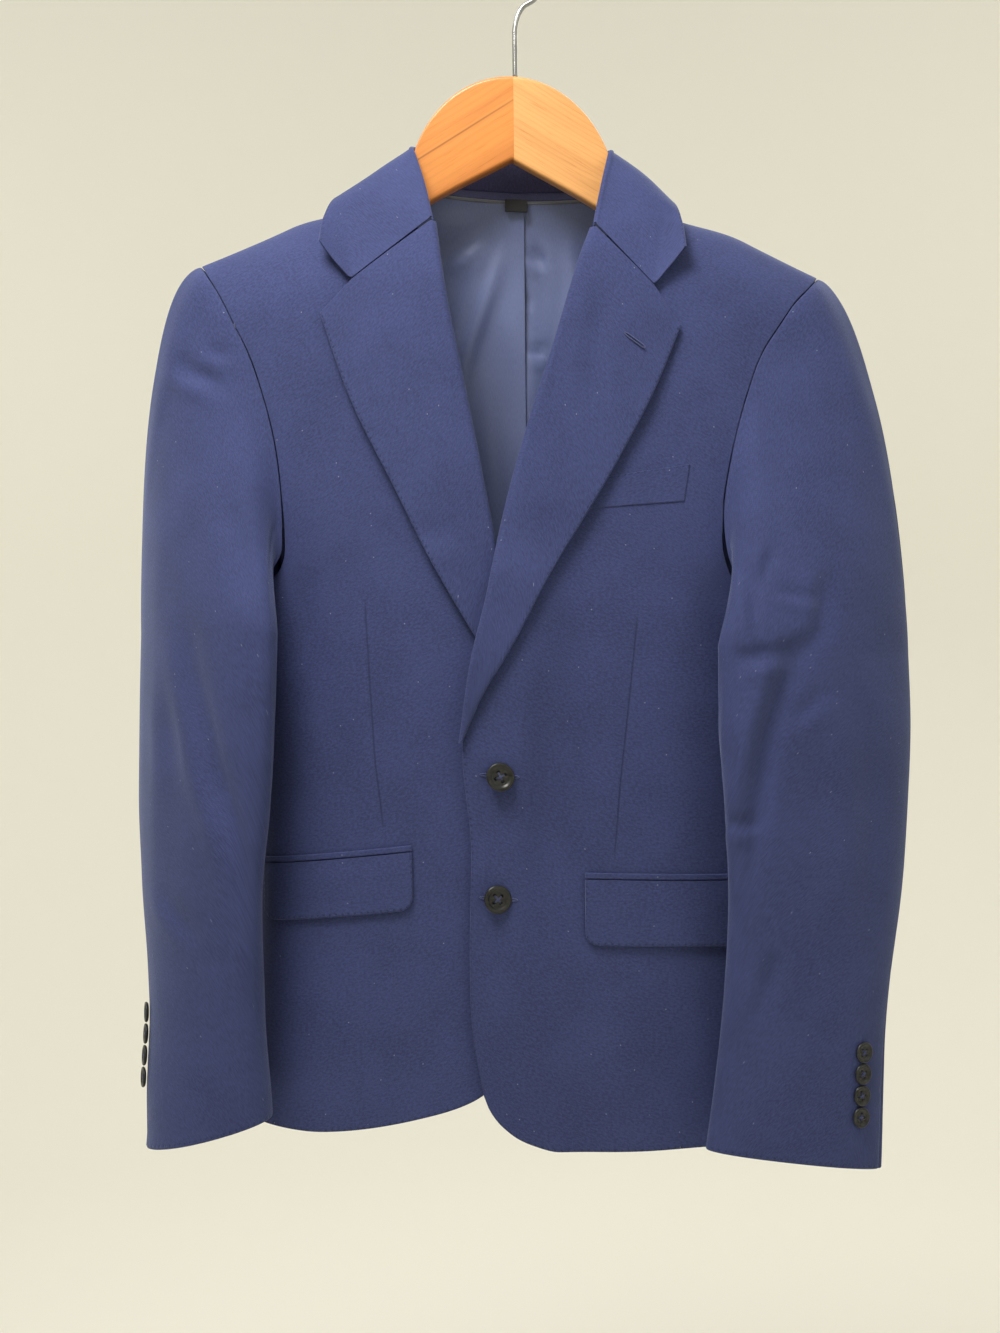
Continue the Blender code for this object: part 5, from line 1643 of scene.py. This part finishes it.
def studio(colour):
    backdrop(colour)
    for name, place, target, size, watts, tint in LAMPS:
        data = bpy.data.lights.new(name, "AREA")
        data.shape, data.size, data.energy, data.color = "DISK", size, watts, tint
        lamp = bpy.data.objects.new(name, data)
        lamp.location = place
        way = Vector(target) - Vector(place)
        lamp.rotation_euler = way.to_track_quat("-Z", "Y").to_euler()
        lamp.visible_camera = False
        bpy.context.scene.collection.objects.link(lamp)
    world = bpy.data.worlds.new("soft room")
    world.use_nodes = True
    sky = world.node_tree.nodes["Background"]
    sky.inputs["Color"].default_value = (1.0, 0.995, 0.97, 1)
    sky.inputs["Strength"].default_value = bpy.context.scene.blazer_look.room_light
    bpy.context.scene.world = world
    bpy.context.scene.view_settings.view_transform = "Standard"
    data = bpy.data.cameras.new("front camera")
    data.sensor_fit, data.sensor_width, data.lens = "AUTO", SENSOR, LENS
    camera = bpy.data.objects.new("front camera", data)
    camera.location = CAMERA_PLACE
    camera.rotation_euler = (math.pi / 2, CAMERA_TURN, 0)
    bpy.context.scene.collection.objects.link(camera)
    bpy.context.scene.camera = camera


# ---------------------------------------------------------------- settings and tools


def colour_setting(name, description, default):
    return FloatVectorProperty(
        name=name, description=description, default=default, size=4, min=0, max=1,
        subtype="COLOR",
    )


class BlazerLook(bpy.types.PropertyGroup):
    """Colours of the finishes and the light of the room."""

    wool: colour_setting("Wool", "Middle colour of the cloth", (0.044, 0.056, 0.16, 1))
    lining: colour_setting("Lining", "Colour of the satin", (0.14, 0.175, 0.36, 1))
    piping: colour_setting("Piping", "Colour of the neck piping", (0.13, 0.155, 0.2, 1))
    horn: colour_setting("Horn", "Dark colour of the buttons", (0.015, 0.016, 0.015, 1))
    beech: colour_setting("Beech", "Colour of the varnished wood", (0.74, 0.27, 0.05, 1))
    backdrop: colour_setting("Backdrop", "Colour of floor and wall", (0.88, 0.86, 0.775, 1))
    room_light: FloatProperty(
        name="Room light", description="Strength of the even light", default=0.5, min=0
    )


class BlazerSizes(bpy.types.PropertyGroup):
    """Sizes of the trims."""

    front_button: FloatProperty(
        name="Front button", description="Radius of a front button", default=0.010,
        min=0.004, max=0.02, unit="LENGTH",
    )
    cuff_button: FloatProperty(
        name="Cuff button", description="Radius of a cuff button", default=0.0073,
        min=0.003, max=0.015, unit="LENGTH",
    )
    hook_wire: FloatProperty(
        name="Hook wire", description="Radius of the hook's wire", default=0.0019,
        min=0.001, max=0.004, unit="LENGTH",
    )


class BlazerTool(bpy.types.Operator):
    """Makes one group of the blazer's pieces"""

    bl_options = {"REGISTER", "UNDO"}

    def execute(self, context):
        self.make(context)
        return {"FINISHED"}


class BLAZER_OT_studio(BlazerTool):
    """Sets up the pale bowl, the soft lights and the camera"""

    bl_idname, bl_label = "blazer.studio", "Studio"

    def make(self, context):
        studio(finish("backdrop"))


class BLAZER_OT_body(BlazerTool):
    """Makes the two fronts and the two halves of the back"""

    bl_idname, bl_label = "blazer.body", "Body"

    def make(self, context):
        for side, word in SIDES:
            body_front(side, word, finish("wool"))
            body_back(side, word, finish("wool"))


class BLAZER_OT_sleeves(BlazerTool):
    """Makes the two sleeves"""

    bl_idname, bl_label = "blazer.sleeves", "Sleeves"

    def make(self, context):
        for side, word in SIDES:
            sleeve(side, word, finish("wool"))


class BLAZER_OT_collar(BlazerTool):
    """Makes the lapels and the collar's leaf and stand"""

    bl_idname, bl_label = "blazer.collar", "Lapels and collar"

    def make(self, context):
        for side, word in SIDES:
            lapel(side, word, finish("wool"))
        collar(finish("wool"))


class BLAZER_OT_inside(BlazerTool):
    """Makes the neck facing, piping, bare tab and back lining"""

    bl_idname, bl_label = "blazer.inside", "Inside"

    def make(self, context):
        neck_inside(finish("wool"), finish("piping"), finish("tape"))
        for side, word in SIDES:
            lining(side, word, finish("satin"))


class BLAZER_OT_pockets(BlazerTool):
    """Makes the flaps, their jets and the breast welt"""

    bl_idname, bl_label = "blazer.pockets", "Pockets"

    def make(self, context):
        for side, word in SIDES:
            flap(side, word, finish("wool"))
        welt(finish("wool"))


class BLAZER_OT_buttons(BlazerTool):
    """Makes the front and cuff buttons with their thread"""

    bl_idname, bl_label = "blazer.buttons", "Buttons"

    def make(self, context):
        sizes = context.scene.blazer_sizes
        buttons(sizes.front_button / MM, sizes.cuff_button / MM, finish("horn"), finish("thread"))


class BLAZER_OT_holes(BlazerTool):
    """Works the buttonholes of the front and the lapel"""

    bl_idname, bl_label = "blazer.holes", "Buttonholes"

    def make(self, context):
        buttonholes(finish("thread"))


class BLAZER_OT_hanger(BlazerTool):
    """Makes the hanger's two wooden arms and its steel hook"""

    bl_idname, bl_label = "blazer.hanger", "Hanger"

    def make(self, context):
        for side, word in SIDES:
            hanger_arm(word, side, finish(f"beech_{word}"))
        hook(context.scene.blazer_sizes.hook_wire / MM, finish("steel"))


TOOLS = (
    BLAZER_OT_studio, BLAZER_OT_body, BLAZER_OT_sleeves, BLAZER_OT_collar, BLAZER_OT_inside,
    BLAZER_OT_pockets, BLAZER_OT_buttons, BLAZER_OT_holes, BLAZER_OT_hanger,
)


class BLAZER_PT_panel(bpy.types.Panel):
    """Settings and tools of the blazer"""

    bl_idname, bl_label = "BLAZER_PT_panel", "Hung Blazer"
    bl_space_type, bl_region_type, bl_category = "VIEW_3D", "UI", "Blazer"

    def draw(self, context):
        for settings in (context.scene.blazer_look, context.scene.blazer_sizes):
            column = self.layout.column(align=True)
            for name in settings.__annotations__:
                column.prop(settings, name)
        column = self.layout.column(align=True)
        for tool in TOOLS:
            column.operator(tool.bl_idname)


CLASSES = (BlazerLook, BlazerSizes, *TOOLS, BLAZER_PT_panel)


def register():
    for cls in CLASSES:
        bpy.utils.register_class(cls)
    bpy.types.Scene.blazer_look = PointerProperty(type=BlazerLook)
    bpy.types.Scene.blazer_sizes = PointerProperty(type=BlazerSizes)


def unregister():
    del bpy.types.Scene.blazer_look, bpy.types.Scene.blazer_sizes
    for cls in reversed(CLASSES):
        bpy.utils.unregister_class(cls)


def main():
    register()
    for tool in TOOLS:
        group, name = tool.bl_idname.split(".")
        getattr(getattr(bpy.ops, group), name)()


if __name__ == "__main__":
    main()
